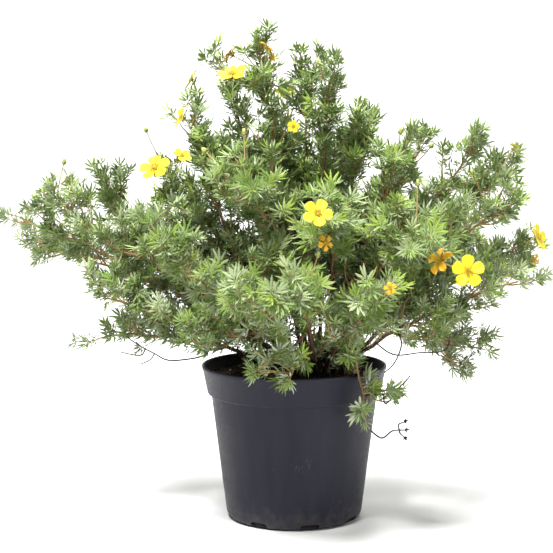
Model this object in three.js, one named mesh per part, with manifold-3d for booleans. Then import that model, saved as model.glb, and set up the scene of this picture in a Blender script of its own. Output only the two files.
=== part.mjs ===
// A shrubby cinquefoil (potentilla) in a round nursery pot.
// Millimetres, +Z up. The origin is the middle of the pot's underside and -Y is the front.
// Twenty leafy stems stand in holes in the soil. Each one forks, carries side shoots, tufts and whorls
// of narrow leaflets, and holds up its share of the yellow blooms on short stalks.
import * as THREE from "three";
import { mergeVertices } from "three/addons/utils/BufferGeometryUtils.js";
import Module from "manifold-3d";

const wasm = await Module();
wasm.setup();

const DEGREE = Math.PI / 180;
const GOLDEN_TURN = 137.508 * DEGREE;

// Pot: a moulded tub with a deeper band round its mouth
const POT_HEIGHT = 160;
const POT_SIDES = 32;
const RIM_RADIUS = 95;
const BAND_FOOT_RADIUS = 89.5;
const BAND_FOOT = 131.5;
const STEP_HEIGHT = 2.5;
const WALL_TOP_RADIUS = 85.5;
const WALL_FOOT_RADIUS = 70.5;
const WALL = 2;
const FOOT_ROUNDING = 9;
const FLOOR = 3;
const FLOOR_RADIUS = 65;
const SLOTS = 8;
const SLOT_WIDTH = 19;
const SLOT_HEIGHT = 7;
const SLOT_DEPTH = 14;
const SLOT_TURN = -77 * DEGREE;

// Soil
const SOIL_TOP = 149;
const SOIL_RADIUS = 89.9;
const SOIL_SIDES = 20;
const SOIL_RINGS = [64, 36];
const SOIL_BUMP = 1.5;
const CLEARANCE = 0.35;
const HOLE_SIDES = 5;
const HOLE_HEADROOM = 10;

// Stems, forks, side shoots and flower stalks
const CROWN = new THREE.Vector3(22, 0, SOIL_TOP);
const CROWN_INNER = 7;
const CROWN_OUTER = 31;
const COLLAR = 4;
const FOOT_SPACING = 9;
const STEM_DEPTH = 18;
const STEM_RADIUS = 2.5;
const STEM_SIDES = 4;
const STEM_STEPS = 6;
const TWIG_SIDES = 3;
const TWIG_GAP = 1.2;
const POT_GAP = 1;
const FORK_SHARE = 0.72;
const FORK_LOW = 0.2;
const FORK_HIGH = 0.45;
const FORK_STEPS = 5;
const TIP_RADIUS = 0.85;
const SHOOT_SHARE = 0.7;
const SHOOT_TIP_RADIUS = 0.6;
const SHOOT_EVERY = 125;
const SHOOT_LOWEST = 0.12;
const SHOOT_HIGHEST = 0.96;
const SHOOT_LONG = 100;
const SHOOT_SHORT = 42;
const SHOOT_BEND_AT = 0.55;
const SHOOT_LIFT = 0.3;
const SHOOT_LIFT_BEYOND_BEND = 0.45;
const SHOOT_TRIES = 12;
const STALK_REACH = 46;
const STALK_STEPS = 2;
const STALK_TRIES = 24;
const WIRY_RADIUS = 0.9;
const WIRY_TIP_RADIUS = 0.6;

// A route may sway aside, a little further and on another bearing each time it finds no room.
const SWAYS = Array.from({ length: 20 }, (_, i) => i);
const SWAY = 3;

// Leaves: narrow leaflets in whorls round the stems and in a tuft round each tip
const LEAFLET = 16;
const LEAFLET_WIDTH = 4.4;
const WAIST_AT = 0.52;
const TUFT_LEAFLETS = 6;
const TUFT_RISES = [12, 45];
const TUFT_SEAT = 1;
const TUFT_DEPTH = 2.4;
const WHORL_LEAFLETS = 5;
const WHORL_RISES = [36];
const WHORL_SEAT = 0;
const WHORL_BACK = 42;
const HUB_RADIUS = 2;
const HUB_HALF = 0.8;
const BLADE_ROOM = 2.2;
const BLADE_GAP = 0.4;

// Blooms, buds and dried heads
const PETALS = 5;
const PETAL_TURN = (2 * Math.PI) / PETALS;
const BLOOM_SEAT = 1;
const CALYX_DEPTH = 1.6;
const BUD_RADIUS = 2.6;
const BUD_LENGTH = 7;
const HEAD_RADIUS = 1.7;
const HEAD_LENGTH = 5;

// A petal's edge: how far round from its middle, out and up, in shares of the turn and the radius.
const PETAL_EDGE = [
  [-0.5, 0.36, 0.03],
  [-0.35, 0.76, 0.12],
  [-0.14, 0.99, 0.2],
  [0.14, 0.99, 0.2],
  [0.35, 0.76, 0.12],
];

// Each stem: the tip of its main path and of its fork, as x, y, z and the rise of the tip in degrees.
const STEMS = [
  [[-288, -10, 316, 25], [-284, 60, 277, 10]],
  [[-247, -60, 349, 50], [-213, 50, 356, 60]],
  [[-205, 45, 183, -5], [-201, -80, 239, 10]],
  [[-152, 60, 390, 60], [-115, -50, 431, 60]],
  [[-76, 10, 492, 75], [-86, 130, 421, 70]],
  [[-40, -25, 506, 80], [-52, -160, 371, 60]],
  [[3, 30, 481, 75], [-3, 130, 416, 70]],
  [[38, -40, 468, 70], [62, 120, 399, 65]],
  [[87, 30, 423, 65], [30, -190, 336, 50]],
  [[146, 60, 402, 55], [104, -90, 392, 60]],
  [[192, -20, 398, 55], [112, -190, 309, 40]],
  [[233, 50, 370, 45], [222, -60, 337, 35]],
  [[240, 20, 281, 20], [210, 190, 295, 35]],
  [[240, -60, 259, 20], [190, 30, 186, 40]],
  [[-55, -215, 257, 15], [-120, -185, 299, 45]],
  [[2, -230, 264, 15], [-8, -114, 151, -75]],
  [[77, -204, 254, 24], [71, -76, 104, -80]],
  [[-165, 200, 277, 40], [-96, 220, 211, 10]],
  [[-32, 225, 334, 50], [10, 232, 209, 10]],
  [[96, 210, 329, 50], [126, 205, 212, 10]],
];

// Each bloom: x, y, z of its centre, the bearing and rise it faces in degrees, its radius,
// and how far it is past its best, from 0 for lemon yellow to 1 for orange.
const BLOOMS = [
  [-134, -110, 366, -112, 45, 17, 0],
  [-110, -84, 377, -50, 50, 11, 0],
  [-102, -40, 451, 178, 30, 13, 0],
  [-111, -60, 414, -160, 20, 12, 0],
  [-62, -45, 456, -118, 58, 17, 0],
  [-65, 2, 478, 168, 40, 12, 1],
  [-25, -38, 480, 12, 35, 14, 1],
  [-2, -70, 405, -80, 10, 7, 0],
  [18, -218, 330, -85, 30, 15, 0],
  [26, -207, 303, -60, 10, 9, 1],
  [129, -192, 286, -140, 25, 15, 1],
  [157, -176, 274, -90, 12, 17, 0],
  [250, 0, 291, -32, 20, 16, 0],
  [246, -8, 268, -60, -10, 8, 1],
  [230, 36, 383, 20, 60, 7, 0],
  [84, -205, 262, -90, 20, 7, 1],
  [-226, -44, 352, 150, 50, 9, 1],
  [-60, 214, 338, 100, 40, 16, 0],
  [70, 205, 366, 80, 50, 14, 0],
  [186, 160, 336, 40, 40, 15, 0],
  [-196, 128, 322, 140, 35, 15, 0],
  [150, 190, 250, 60, 10, 13, 1],
  [-8, 120, 440, 90, 60, 13, 0],
];

// Buds: x, y, z of the end of the stalk that carries each one.
const BUDS = [
  [-152, 20, 398], [-85, -110, 381], [-49, -120, 397], [101, -84, 397], [140, 20, 382], [175, -66, 357],
  [113, -146, 350], [97, -140, 336], [-232, -30, 366], [18, -205, 289], [-120, 180, 345], [40, 200, 352],
];

// Leafless wiry twigs: the stem that carries each one, whether a dried head ends it, and its bends.
const WIRY_TWIGS = [
  [13, false, [[97, 0, 172], [109, -2, 169], [130, -4, 172], [150, -6, 173], [158, -6, 178], [160, -6, 190]]],
  [13, false, [[107, -50, 188], [100, -58, 171], [89, -68, 162]]],
  [16, false, [[94, -76, 143], [107, -74, 152], [114, -74, 160]]],
  [16, false, [[89, -80, 133], [96, -82, 140], [101, -84, 150]]],
  [16, true, [[85, -82, 99], [96, -82, 106], [108, -82, 107]]],
  [16, true, [[102, -85, 113], [107, -87, 116]]],
  [16, true, [[104, -79, 103], [108, -77, 99]]],
  [2, false, [[-92, 8, 168], [-121, 8, 162], [-134, 8, 163], [-145, 8, 169], [-160, 8, 177], [-173, 8, 186]]],
  [2, false, [[-160, 3, 168], [-180, 0, 172]]],
  [2, false, [[-150, 13, 162], [-160, 15, 157]]],
];

const vec = (x, y, z) => new THREE.Vector3(x, y, z);
const UP = vec(0, 0, 1);
const group = new THREE.Group();

// A repeatable stream of numbers from 0 to 1, the same in any language with whole numbers to 2^53.
function drawer(seed) {
  let state = (seed * 7919 + 104729) % 2147483647;
  const draw = () => {
    state = (state * 16807) % 2147483647;
    return state / 2147483647;
  };
  draw();
  draw();
  return draw;
}

// Joins and cuts

function solidOf(geometry) {
  geometry.deleteAttribute("normal");
  geometry.deleteAttribute("uv");
  const merged = mergeVertices(geometry, 1e-4);
  return new wasm.Manifold(
    new wasm.Mesh({
      numProp: 3,
      vertProperties: new Float32Array(merged.attributes.position.array),
      triVerts: new Uint32Array(merged.index.array),
    }),
  );
}

// Joins the solids and keeps the largest body, with any hollow that the joining sealed filled.
function fuse(solids) {
  const joined = solids.reduce((sum, next) => sum.add(next));
  return joined.decompose().reduce((a, b) => (b.volume() > a.volume() ? b : a));
}

function addPiece(name, solid, color, roughness) {
  const { vertProperties, triVerts } = solid.getMesh();
  const geometry = new THREE.BufferGeometry();
  geometry.setAttribute("position", new THREE.BufferAttribute(vertProperties, 3));
  geometry.setIndex(new THREE.BufferAttribute(triVerts, 1));
  const material = new THREE.MeshStandardMaterial({ color, roughness, metalness: 0 });
  const mesh = new THREE.Mesh(geometry, material);
  mesh.name = name;
  group.add(mesh);
}

// A closed mesh from points and triangles.
function meshOf(points, faces) {
  const geometry = new THREE.BufferGeometry();
  const numbers = points.flatMap((point) => [point.x, point.y, point.z]);
  geometry.setAttribute("position", new THREE.Float32BufferAttribute(numbers, 3));
  geometry.setIndex(faces.flat());
  return solidOf(geometry);
}

// Curves

// The unit vector on a bearing from +X and at a rise above the horizon.
const heading = (bearing, rise) =>
  vec(Math.cos(bearing) * Math.cos(rise), Math.sin(bearing) * Math.cos(rise), Math.sin(rise));

// A unit vector square to a way, level where it can be.
const sideOf = (way) => way.clone().cross(Math.abs(way.z) < 0.9 ? UP : vec(1, 0, 0)).normalize();

// A curve that leaves its start along one way, reaches its tip along another and may sway aside between.
function arch(start, leaving, tip, arriving, steps, sway) {
  const chord = tip.clone().sub(start);
  const hold = 0.36 * chord.length();
  const aside = sideOf(chord.normalize()).applyAxisAngle(chord, sway * GOLDEN_TURN);
  aside.multiplyScalar(sway * SWAY);
  const curve = new THREE.CubicBezierCurve3(
    start,
    start.clone().addScaledVector(leaving, hold).add(aside),
    tip.clone().addScaledVector(arriving, -hold).add(aside),
    tip,
  );
  return curve.getPoints(steps);
}

const lengthOf = (points) => points.slice(1).reduce((sum, p, i) => sum + p.distanceTo(points[i]), 0);

// The point at a share of a polyline's length, its direction there and its radius.
function along(path, share) {
  const { points, radii } = path;
  let left = share * lengthOf(points);
  let i = 0;
  while (i < points.length - 2 && left > points[i].distanceTo(points[i + 1])) {
    left -= points[i].distanceTo(points[i + 1]);
    i += 1;
  }
  const part = Math.min(1, left / points[i].distanceTo(points[i + 1]));
  return {
    point: points[i].clone().lerp(points[i + 1], part),
    way: points[i + 1].clone().sub(points[i]).normalize(),
    radius: radii[i] + (radii[i + 1] - radii[i]) * part,
  };
}

// Room: what has been placed so far, as round-ended rods in a grid of cells

const CELL = 24;
const cells = new Map();

function cellsOf(rod, gap) {
  const keys = [];
  const reach = rod.radius + gap;
  const low = rod.a.clone().min(rod.b).subScalar(reach).divideScalar(CELL).floor();
  const high = rod.a.clone().max(rod.b).addScalar(reach).divideScalar(CELL).floor();
  for (let x = low.x; x <= high.x; x += 1)
    for (let y = low.y; y <= high.y; y += 1)
      for (let z = low.z; z <= high.z; z += 1) keys.push(`${x},${y},${z}`);
  return keys;
}

function place(rod) {
  for (const key of cellsOf(rod, 0)) {
    if (!cells.has(key)) cells.set(key, []);
    cells.get(key).push(rod);
  }
}

// The least distance between two straight stretches.
function between(a, b, c, d) {
  const u = b.clone().sub(a);
  const v = d.clone().sub(c);
  const w = a.clone().sub(c);
  const uu = u.dot(u);
  const uv = u.dot(v);
  const vv = v.dot(v);
  const uw = u.dot(w);
  const vw = v.dot(w);
  const bounded = (x) => Math.min(1, Math.max(0, x));
  const spread = uu * vv - uv * uv;
  let s = spread > 1e-9 ? bounded((uv * vw - vv * uw) / spread) : 0;
  const t = bounded((uv * s + vw) / vv);
  s = bounded((uv * t - uw) / uu);
  return w.addScaledVector(u, s).addScaledVector(v, -t).length();
}

// True if a rod keeps its gap to all that is placed, apart from rods that skip lets it touch.
function hasRoom(rod, gap, skip) {
  const clear = (other) =>
    skip(other) || between(rod.a, rod.b, other.a, other.b) >= rod.radius + other.radius + gap;
  return cellsOf(rod, gap).every((key) => (cells.get(key) ?? []).every(clear));
}

// The pot's outer radius at a height, or a little more.
const potRadius = (z) =>
  z > BAND_FOOT - 2 * STEP_HEIGHT
    ? RIM_RADIUS
    : WALL_TOP_RADIUS - ((WALL_TOP_RADIUS - WALL_FOOT_RADIUS) * (BAND_FOOT - z)) / BAND_FOOT;

// True if a stretch stays out of the pot's wall and rim and above the soil.
function clearOfPot(a, b, radius) {
  const reach = radius + POT_GAP;
  const steps = Math.ceil(a.distanceTo(b) / 3);
  for (let i = 0; i <= steps; i += 1) {
    const p = a.clone().lerp(b, i / steps);
    const out = Math.hypot(p.x, p.y);
    if (out > potRadius(p.z) + reach || p.z > POT_HEIGHT + reach) continue;
    if (p.z < SOIL_TOP + SOIL_BUMP + reach || out > BAND_FOOT_RADIUS - reach) return false;
  }
  return true;
}

const rodsOf = (path) =>
  path.points.slice(1).map((b, i) => ({
    a: path.points[i],
    b,
    radius: Math.max(path.radii[i], path.radii[i + 1]),
    stem: path.stem,
    path,
  }));

// Plant

const paths = [];

// Adds the first of the routes offered that keeps clear of other stems, blooms and the pot.
// Its own stem may be touched by its first stretch, and its parent by all of it.
function addPath({ stem, kind, parent = null, bloom = null, routes, from, to, sunk = 0 }) {
  for (const points of routes) {
    const radii = points.map((_, i) => from + (to - from) * (i / (points.length - 1)));
    const path = { stem, kind, parent, points, radii };
    const free = rodsOf(path).every((rod, i) => {
      const kin = (other) =>
        (i === 0 && other.stem === stem) ||
        (parent && other.path === parent) ||
        (bloom && other.bloom === bloom);
      return (i < sunk || clearOfPot(rod.a, rod.b, rod.radius)) && hasRoom(rod, TWIG_GAP, kin);
    });
    if (!free) continue;
    paths.push(path);
    rodsOf(path).forEach(place);
    return path;
  }
  return null;
}

const bearingOf = (x, y) => Math.atan2(y - CROWN.y, x - CROWN.x);

// How far a tip lies over to the side, from 0 upright to 1 level with the soil.
const leanOf = (x, y, z) => Math.atan2(Math.hypot(x - CROWN.x, y - CROWN.y), z - SOIL_TOP) / (90 * DEGREE);

// The stems' feet stand round the crown on the bearings of their tips, and are pushed apart where they crowd.
function placeFeet() {
  const feet = STEMS.map(([[x, y, z]]) => {
    const out = CROWN_INNER + (CROWN_OUTER - CROWN_INNER) * leanOf(x, y, z);
    return heading(bearingOf(x, y), 0).multiplyScalar(out).add(CROWN).setZ(SOIL_TOP - STEM_DEPTH);
  });
  for (let round = 0; round < 40; round += 1)
    feet.forEach((a, i) =>
      feet.slice(i + 1).forEach((b) => {
        const apart = a.clone().sub(b);
        const push = Math.max(0, FOOT_SPACING - apart.length()) / 2;
        a.addScaledVector(apart.normalize(), push);
        b.addScaledVector(apart, -push);
      }),
    );
  return feet;
}

// A main stem stands upright in its hole and then arches out to its tip.
function addStem(stem, foot, [x, y, z, rise]) {
  const tip = vec(x, y, z);
  const bearing = bearingOf(x, y);
  const lean = leanOf(x, y, z);
  const collar = foot.clone().setZ(SOIL_TOP + COLLAR);
  const leaving = heading(bearing, Math.min(84, 104 * (1 - lean) + 12) * DEGREE);
  const arriving = heading(bearing, rise * DEGREE);
  const routes = SWAYS.map((sway) => [foot, ...arch(collar, leaving, tip, arriving, STEM_STEPS, sway)]);
  return addPath({ stem, kind: "stem", routes, from: STEM_RADIUS, to: TIP_RADIUS, sunk: 2 });
}

// A fork leaves its stem low down and arches to a tip of its own.
function addFork(stem, parent, [x, y, z, rise]) {
  const root = along(parent, FORK_LOW + (FORK_HIGH - FORK_LOW) * drawer(stem + 1)());
  const tip = vec(x, y, z);
  const bearing = Math.atan2(y - root.point.y, x - root.point.x);
  const leaving = root.way.clone().add(heading(bearing, 30 * DEGREE)).normalize();
  const arriving = heading(bearing, rise * DEGREE);
  const routes = SWAYS.map((sway) => arch(root.point, leaving, tip, arriving, FORK_STEPS, sway));
  return addPath({ stem, kind: "fork", parent, routes, from: root.radius * FORK_SHARE, to: TIP_RADIUS });
}

// A thin bare twig that leaves the nearest point of its stem.
function addWiry(stem, bends) {
  const points = bends.map(([x, y, z]) => vec(x, y, z));
  const shares = Array.from({ length: 17 }, (_, i) => 0.14 + 0.05 * i);
  const roots = paths
    .filter((p) => p.stem === stem)
    .flatMap((parent) => shares.map((share) => ({ parent, point: along(parent, share).point })));
  const far = (root) => root.point.distanceTo(points[0]);
  const root = roots.reduce((a, b) => (far(b) < far(a) ? b : a));
  const routes = [[root.point, ...points]];
  return addPath({ stem, kind: "wiry", parent: root.parent, routes, from: WIRY_RADIUS, to: WIRY_TIP_RADIUS });
}

// A stalk to a flower head leaves the stem or fork that lies about its own length below the head.
function addStalk(point, facing, bloom) {
  const offers = [];
  for (const path of paths.filter((p) => p.kind === "stem" || p.kind === "fork"))
    for (let share = 0.5; share < 0.98; share += 0.04) {
      const root = along(path, share);
      const rise = point.clone().sub(root.point);
      const cost = Math.abs(rise.length() - STALK_REACH) + 30 * Math.max(0, rise.angleTo(root.way) - 1);
      offers.push({ cost, path, root });
    }
  offers.sort((a, b) => a.cost - b.cost);
  for (const { path, root } of offers.slice(0, STALK_TRIES)) {
    const straight = point.clone().sub(root.point).normalize();
    const leaving = root.way.clone().add(straight).normalize();
    const arriving = facing.clone().add(straight).normalize();
    const routes = SWAYS.map((sway) => arch(root.point, leaving, point, arriving, STALK_STEPS, sway));
    const kin = { stem: path.stem, parent: path, bloom };
    const from = root.radius * SHOOT_SHARE;
    const stalk = addPath({ ...kin, kind: "stalk", routes, from, to: SHOOT_TIP_RADIUS });
    if (stalk) return stalk;
  }
  return null;
}

// Side shoots stand round their parent by the golden angle, longest low down, and turn upwards.
// One that would cross something is turned and shortened until it clears.
function addShoots(parent, number) {
  const length = lengthOf(parent.points);
  const count = Math.round(length / SHOOT_EVERY);
  for (let k = 0; k < count; k += 1) {
    const draw = drawer(number * 100 + k + 1);
    const share = SHOOT_LOWEST + ((SHOOT_HIGHEST - SHOOT_LOWEST) * (k + 0.2 + 0.6 * draw())) / count;
    const root = along(parent, share);
    const routes = Array.from({ length: SHOOT_TRIES }, (_, attempt) => {
      const turn = k * GOLDEN_TURN + number + (attempt + draw()) * 0.7;
      const splay = (38 + 22 * draw()) * DEGREE;
      const usual = SHOOT_SHORT + (SHOOT_LONG - SHOOT_SHORT) * (1 - share);
      const long = usual * (0.85 + 0.35 * draw()) - 3 * attempt;
      const way = root.way.clone().multiplyScalar(Math.cos(splay));
      way.addScaledVector(sideOf(root.way).applyAxisAngle(root.way, turn), Math.sin(splay));
      way.addScaledVector(UP, SHOOT_LIFT).normalize();
      const bend = root.point.clone().addScaledVector(way, long * SHOOT_BEND_AT);
      const rising = way.clone().addScaledVector(UP, SHOOT_LIFT_BEYOND_BEND).normalize();
      return [root.point, bend, bend.clone().addScaledVector(rising, long * (1 - SHOOT_BEND_AT))];
    });
    const from = root.radius * SHOOT_SHARE;
    addPath({ stem: parent.stem, kind: "shoot", parent, routes, from, to: SHOOT_TIP_RADIUS });
  }
}

// Solids

// The rings of a path's tube: one at each bend, and a close pair round its whorl.
function ringsOf(path, whorl) {
  const { points, radii } = path;
  const rings = points.map((point, i) => ({ point, radius: radii[i], at: lengthOf(points.slice(0, i + 1)) }));
  if (!whorl) return rings;
  const { point, way, radius } = along(path, whorl.share);
  const at = whorl.share * lengthOf(points);
  const below = point.clone().addScaledVector(way, -HUB_HALF);
  const above = point.clone().addScaledVector(way, HUB_HALF);
  rings.push({ point: below, radius, at: at - HUB_HALF, outline: whorl.outline });
  rings.push({ point: above, radius, at: at + HUB_HALF });
  return rings.sort((a, b) => a.at - b.at);
}

// A tube of straight stretches whose rings keep their turn from one to the next. A whorl of leaflets grows
// out between the two rings of its pair, and a head, such as a tuft or a bud, grows out of the last ring.
function tube(path, sides, whorl, head) {
  const rings = ringsOf(path, whorl);
  const vertices = [];
  const faces = [];
  let across = sideOf(rings[1].point.clone().sub(rings[0].point));
  const spokes = rings.map(({ point, radius }, i) => {
    const [before, after] = [rings[Math.max(0, i - 1)], rings[Math.min(rings.length - 1, i + 1)]];
    const way = after.point.clone().sub(before.point).normalize();
    across = across.clone().addScaledVector(way, -across.dot(way)).normalize();
    for (let j = 0; j < sides; j += 1) {
      const spoke = across.clone().applyAxisAngle(way, (j / sides) * 2 * Math.PI);
      vertices.push(point.clone().addScaledVector(spoke, radius));
    }
    return { across, up: way.cross(across) };
  });
  for (let j = 1; j < sides - 1; j += 1) faces.push([0, j + 1, j]);

  // Adds an outline, a lobe at a time, and says which side of a ring each lobe lies nearest.
  const edgeOf = (outline, middle, ring) =>
    outline.flatMap((lobe) => {
      const arm = lobe.reduce((sum, p) => sum.add(p).sub(middle), vec(0, 0, 0));
      const turn = Math.atan2(arm.dot(spokes[ring].up), arm.dot(spokes[ring].across)) / (2 * Math.PI);
      const side = (Math.round(turn * sides) + sides) % sides;
      return lobe.map((p) => ({ vertex: vertices.push(p) - 1, side }));
    });
  // Joins an outline to a ring along its underside, or along its upper side if over is true.
  const join = (edge, ring, over) =>
    edge.forEach((a, i) => {
      const b = edge[(i + 1) % edge.length];
      const [near, far] = [ring * sides + a.side, ring * sides + b.side];
      faces.push(over ? [a.vertex, b.vertex, near] : [b.vertex, a.vertex, near]);
      if (near !== far) faces.push(over ? [b.vertex, far, near] : [b.vertex, near, far]);
    });

  rings.slice(1).forEach((_, i) => {
    if (rings[i].outline) {
      const edge = edgeOf(rings[i].outline, rings[i].point, i);
      join(edge, i, false);
      join(edge, i + 1, true);
      return;
    }
    for (let j = 0; j < sides; j += 1) {
      const [a, b] = [i * sides + j, i * sides + ((j + 1) % sides)];
      faces.push([a, b, b + sides], [a, b + sides, a + sides]);
    }
  });
  const last = rings.length - 1;
  if (head) {
    const edge = edgeOf(head.outline, head.above, last);
    const apex = vertices.push(head.above) - 1;
    join(edge, last, false);
    edge.forEach((a, i) => faces.push([a.vertex, edge[(i + 1) % edge.length].vertex, apex]));
  } else {
    for (let j = 1; j < sides - 1; j += 1) faces.push([last * sides, last * sides + j, last * sides + j + 1]);
  }
  return meshOf(vertices, faces);
}

// One leaflet's three outer points, on a bearing from the hub: its two sides at the waist and its tip.
function leafletPoints(bearing, length, rise) {
  const way = heading(bearing, rise);
  const wide = heading(bearing + 90 * DEGREE, 0).multiplyScalar((Math.cos(rise) * LEAFLET_WIDTH) / 2);
  const waist = way.clone().multiplyScalar(WAIST_AT * length).addScaledVector(UP, 0.05 * length);
  return [waist.clone().sub(wide), way.multiplyScalar(length), waist.add(wide)];
}

// Leaflets round a hub, with the twig running up +Z through it. Their rises take turns. Each is a lobe of
// four points, which starts at the notch before it, and the notches lie at the height of the seat.
function leafletRing(count, rises, seat, size) {
  const turn = (2 * Math.PI) / count;
  return Array.from({ length: count }, (_, i) => [
    heading((i - 0.5) * turn, 0).multiplyScalar(HUB_RADIUS).setZ(seat),
    ...leafletPoints(i * turn, LEAFLET * size, rises[i % rises.length] * DEGREE),
  ]);
}

// Puts points whose own X and Z axes are given at a place.
function posed(points, origin, xWay, zWay) {
  const z = zWay.clone().normalize();
  const x = xWay.clone().addScaledVector(z, -xWay.dot(z)).normalize();
  const matrix = new THREE.Matrix4().makeBasis(x, z.clone().cross(x), z).setPosition(origin);
  return points.map((p) => p.clone().applyMatrix4(matrix));
}

// The first size and turn at which a ring of leaflets round a path has room, or none.
function settle(path, share, count, rises, seat) {
  const { point, way } = along(path, share);
  const kin = (other) => other.path && (share === 1 ? other.stem === path.stem : other.path === path);
  for (const [attempt, size] of [1, 1, 1, 0.8, 0.8, 0.65].entries()) {
    const across = sideOf(way).applyAxisAngle(way, 0.35 * attempt);
    const outline = leafletRing(count, rises, seat, size).map((lobe) => posed(lobe, point, across, way));
    const rods = outline.map(([, , tip]) => ({ a: point, b: tip, radius: BLADE_ROOM, stem: path.stem }));
    if (!rods.every((rod) => clearOfPot(rod.a, rod.b, rod.radius) && hasRoom(rod, BLADE_GAP, kin))) continue;
    rods.forEach(place);
    return outline;
  }
  return null;
}

// The outline of five sepals under a bloom, in the bloom's own frame. Each is a lobe of a notch and a tip.
const calyxOutline = (radius) =>
  Array.from({ length: PETALS }, (_, i) => [
    heading((i - 1) * PETAL_TURN, 0).multiplyScalar(0.2 * radius).setZ(-1.8),
    heading((i - 0.5) * PETAL_TURN, 0).multiplyScalar(0.62 * radius).setZ(-0.4),
  ]);

// An open bloom, facing +Z: five rounded petals cut apart to near the middle, and a low boss of stamens.
function bloomSolid({ radius, centre, across, facing }) {
  const outline = Array.from({ length: PETALS }, (_, i) =>
    PETAL_EDGE.map(([part, out, up]) =>
      heading((i + part) * PETAL_TURN, 0).multiplyScalar(out * radius).setZ(up * radius),
    ),
  ).flat();
  const boss = Array.from({ length: PETALS }, (_, i) =>
    heading((i - 0.5) * PETAL_TURN, 0).multiplyScalar(0.2 * radius).setZ(0.1 * radius),
  );
  const count = outline.length;
  const [apex, seat] = [count + PETALS, count + PETALS + 1];
  const faces = outline.map((_, i) => [(i + 1) % count, i, seat]);
  for (let i = 0; i < PETALS; i += 1) {
    const [b, c] = [count + i, count + ((i + 1) % PETALS)];
    const edge = [0, 1, 2, 3, 4, 5].map((k) => (PETAL_EDGE.length * i + k) % count);
    faces.push([apex, b, c], [b, edge[2], c]);
    for (let k = 0; k < PETAL_EDGE.length; k += 1) faces.push([k < 2 ? b : c, edge[k], edge[k + 1]]);
  }
  const points = [...outline, ...boss, vec(0, 0, 0.2 * radius), vec(0, 0, -BLOOM_SEAT)];
  return meshOf(posed(points, centre, across, facing), faces);
}

// A bud or a dried head on the end of a path: an outline at its widest and a tip above.
function budOn(path, radius, length) {
  const { point, way } = along(path, 1);
  const widest = Array.from({ length: 5 }, (_, i) =>
    heading(i * 72 * DEGREE, 0).multiplyScalar(radius).setZ(0.4 * length),
  );
  const [above, ...outline] = posed([vec(0, 0, length), ...widest], point, sideOf(way), way);
  return { outline: outline.map((p) => [p]), above };
}

// Pot and soil

function turned(profile, sides) {
  const geometry = new THREE.LatheGeometry(
    profile.map(([r, z]) => new THREE.Vector2(r, z)),
    sides,
  );
  return geometry.rotateX(90 * DEGREE);
}

function potSolid() {
  const outer = [
    [0, 0],
    [WALL_FOOT_RADIUS - FOOT_ROUNDING, 0],
    [WALL_FOOT_RADIUS - 0.25 * FOOT_ROUNDING, 0.25 * FOOT_ROUNDING],
    [WALL_FOOT_RADIUS, FOOT_ROUNDING],
    [WALL_TOP_RADIUS, BAND_FOOT - STEP_HEIGHT],
    [BAND_FOOT_RADIUS, BAND_FOOT],
    [RIM_RADIUS, POT_HEIGHT - 1],
    [RIM_RADIUS - 0.5, POT_HEIGHT],
  ];
  const inner = [
    [RIM_RADIUS - WALL, POT_HEIGHT],
    [BAND_FOOT_RADIUS - WALL, BAND_FOOT + 0.8],
    [WALL_TOP_RADIUS - WALL, BAND_FOOT - STEP_HEIGHT + 0.8],
    [WALL_FOOT_RADIUS - WALL, FOOT_ROUNDING],
    [FLOOR_RADIUS, FLOOR],
    [0, FLOOR],
  ];
  const slots = Array.from({ length: SLOTS }, (_, i) => {
    const slot = new THREE.BoxGeometry(SLOT_DEPTH, SLOT_WIDTH, SLOT_HEIGHT + 1);
    slot.translate(WALL_FOOT_RADIUS, 0, (SLOT_HEIGHT - 1) / 2);
    return solidOf(slot.rotateZ(SLOT_TURN + (i / SLOTS) * 2 * Math.PI));
  });
  const tub = turned([...outer, ...inner], POT_SIDES).rotateZ(SLOT_TURN);
  return slots.reduce((pot, slot) => pot.subtract(slot), solidOf(tub));
}

// The soil fills the pot to just under its rim, with a crumbly top and a plain hole for each stem.
function soilSolid(feet) {
  const within = (radius) => (radius - WALL) * Math.cos(Math.PI / POT_SIDES) - CLEARANCE;
  const profile = [
    [0, FLOOR + CLEARANCE],
    [FLOOR_RADIUS - 1, FLOOR + CLEARANCE],
    [within(WALL_FOOT_RADIUS), FOOT_ROUNDING + 2],
    [within(WALL_TOP_RADIUS), BAND_FOOT - STEP_HEIGHT + 1.2],
    [within(BAND_FOOT_RADIUS), BAND_FOOT + 1.5],
    [SOIL_RADIUS, SOIL_TOP - 1],
    ...SOIL_RINGS.map((r) => [r, SOIL_TOP]),
    [0, SOIL_TOP],
  ];
  const body = turned(profile, SOIL_SIDES);
  const spots = body.getAttribute("position");
  for (let i = 0; i < spots.count; i += 1) {
    const [x, y, z] = [spots.getX(i), spots.getY(i), spots.getZ(i)];
    const bump = Math.sin(0.11 * x + 1.3) * Math.cos(0.13 * y - 0.4);
    if (z > SOIL_TOP - 0.5) spots.setZ(i, z + SOIL_BUMP * bump);
  }
  const depth = STEM_DEPTH + CLEARANCE + HOLE_HEADROOM;
  const radius = (STEM_RADIUS + CLEARANCE) / Math.cos(Math.PI / HOLE_SIDES);
  const holes = feet.map((foot) => {
    const hole = new THREE.CylinderGeometry(radius, radius, depth, HOLE_SIDES).rotateX(90 * DEGREE);
    return solidOf(hole.translate(foot.x, foot.y, SOIL_TOP - STEM_DEPTH - CLEARANCE + depth / 2));
  });
  return holes.reduce((soil, hole) => soil.subtract(hole), solidOf(body));
}

// Assembly

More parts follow.
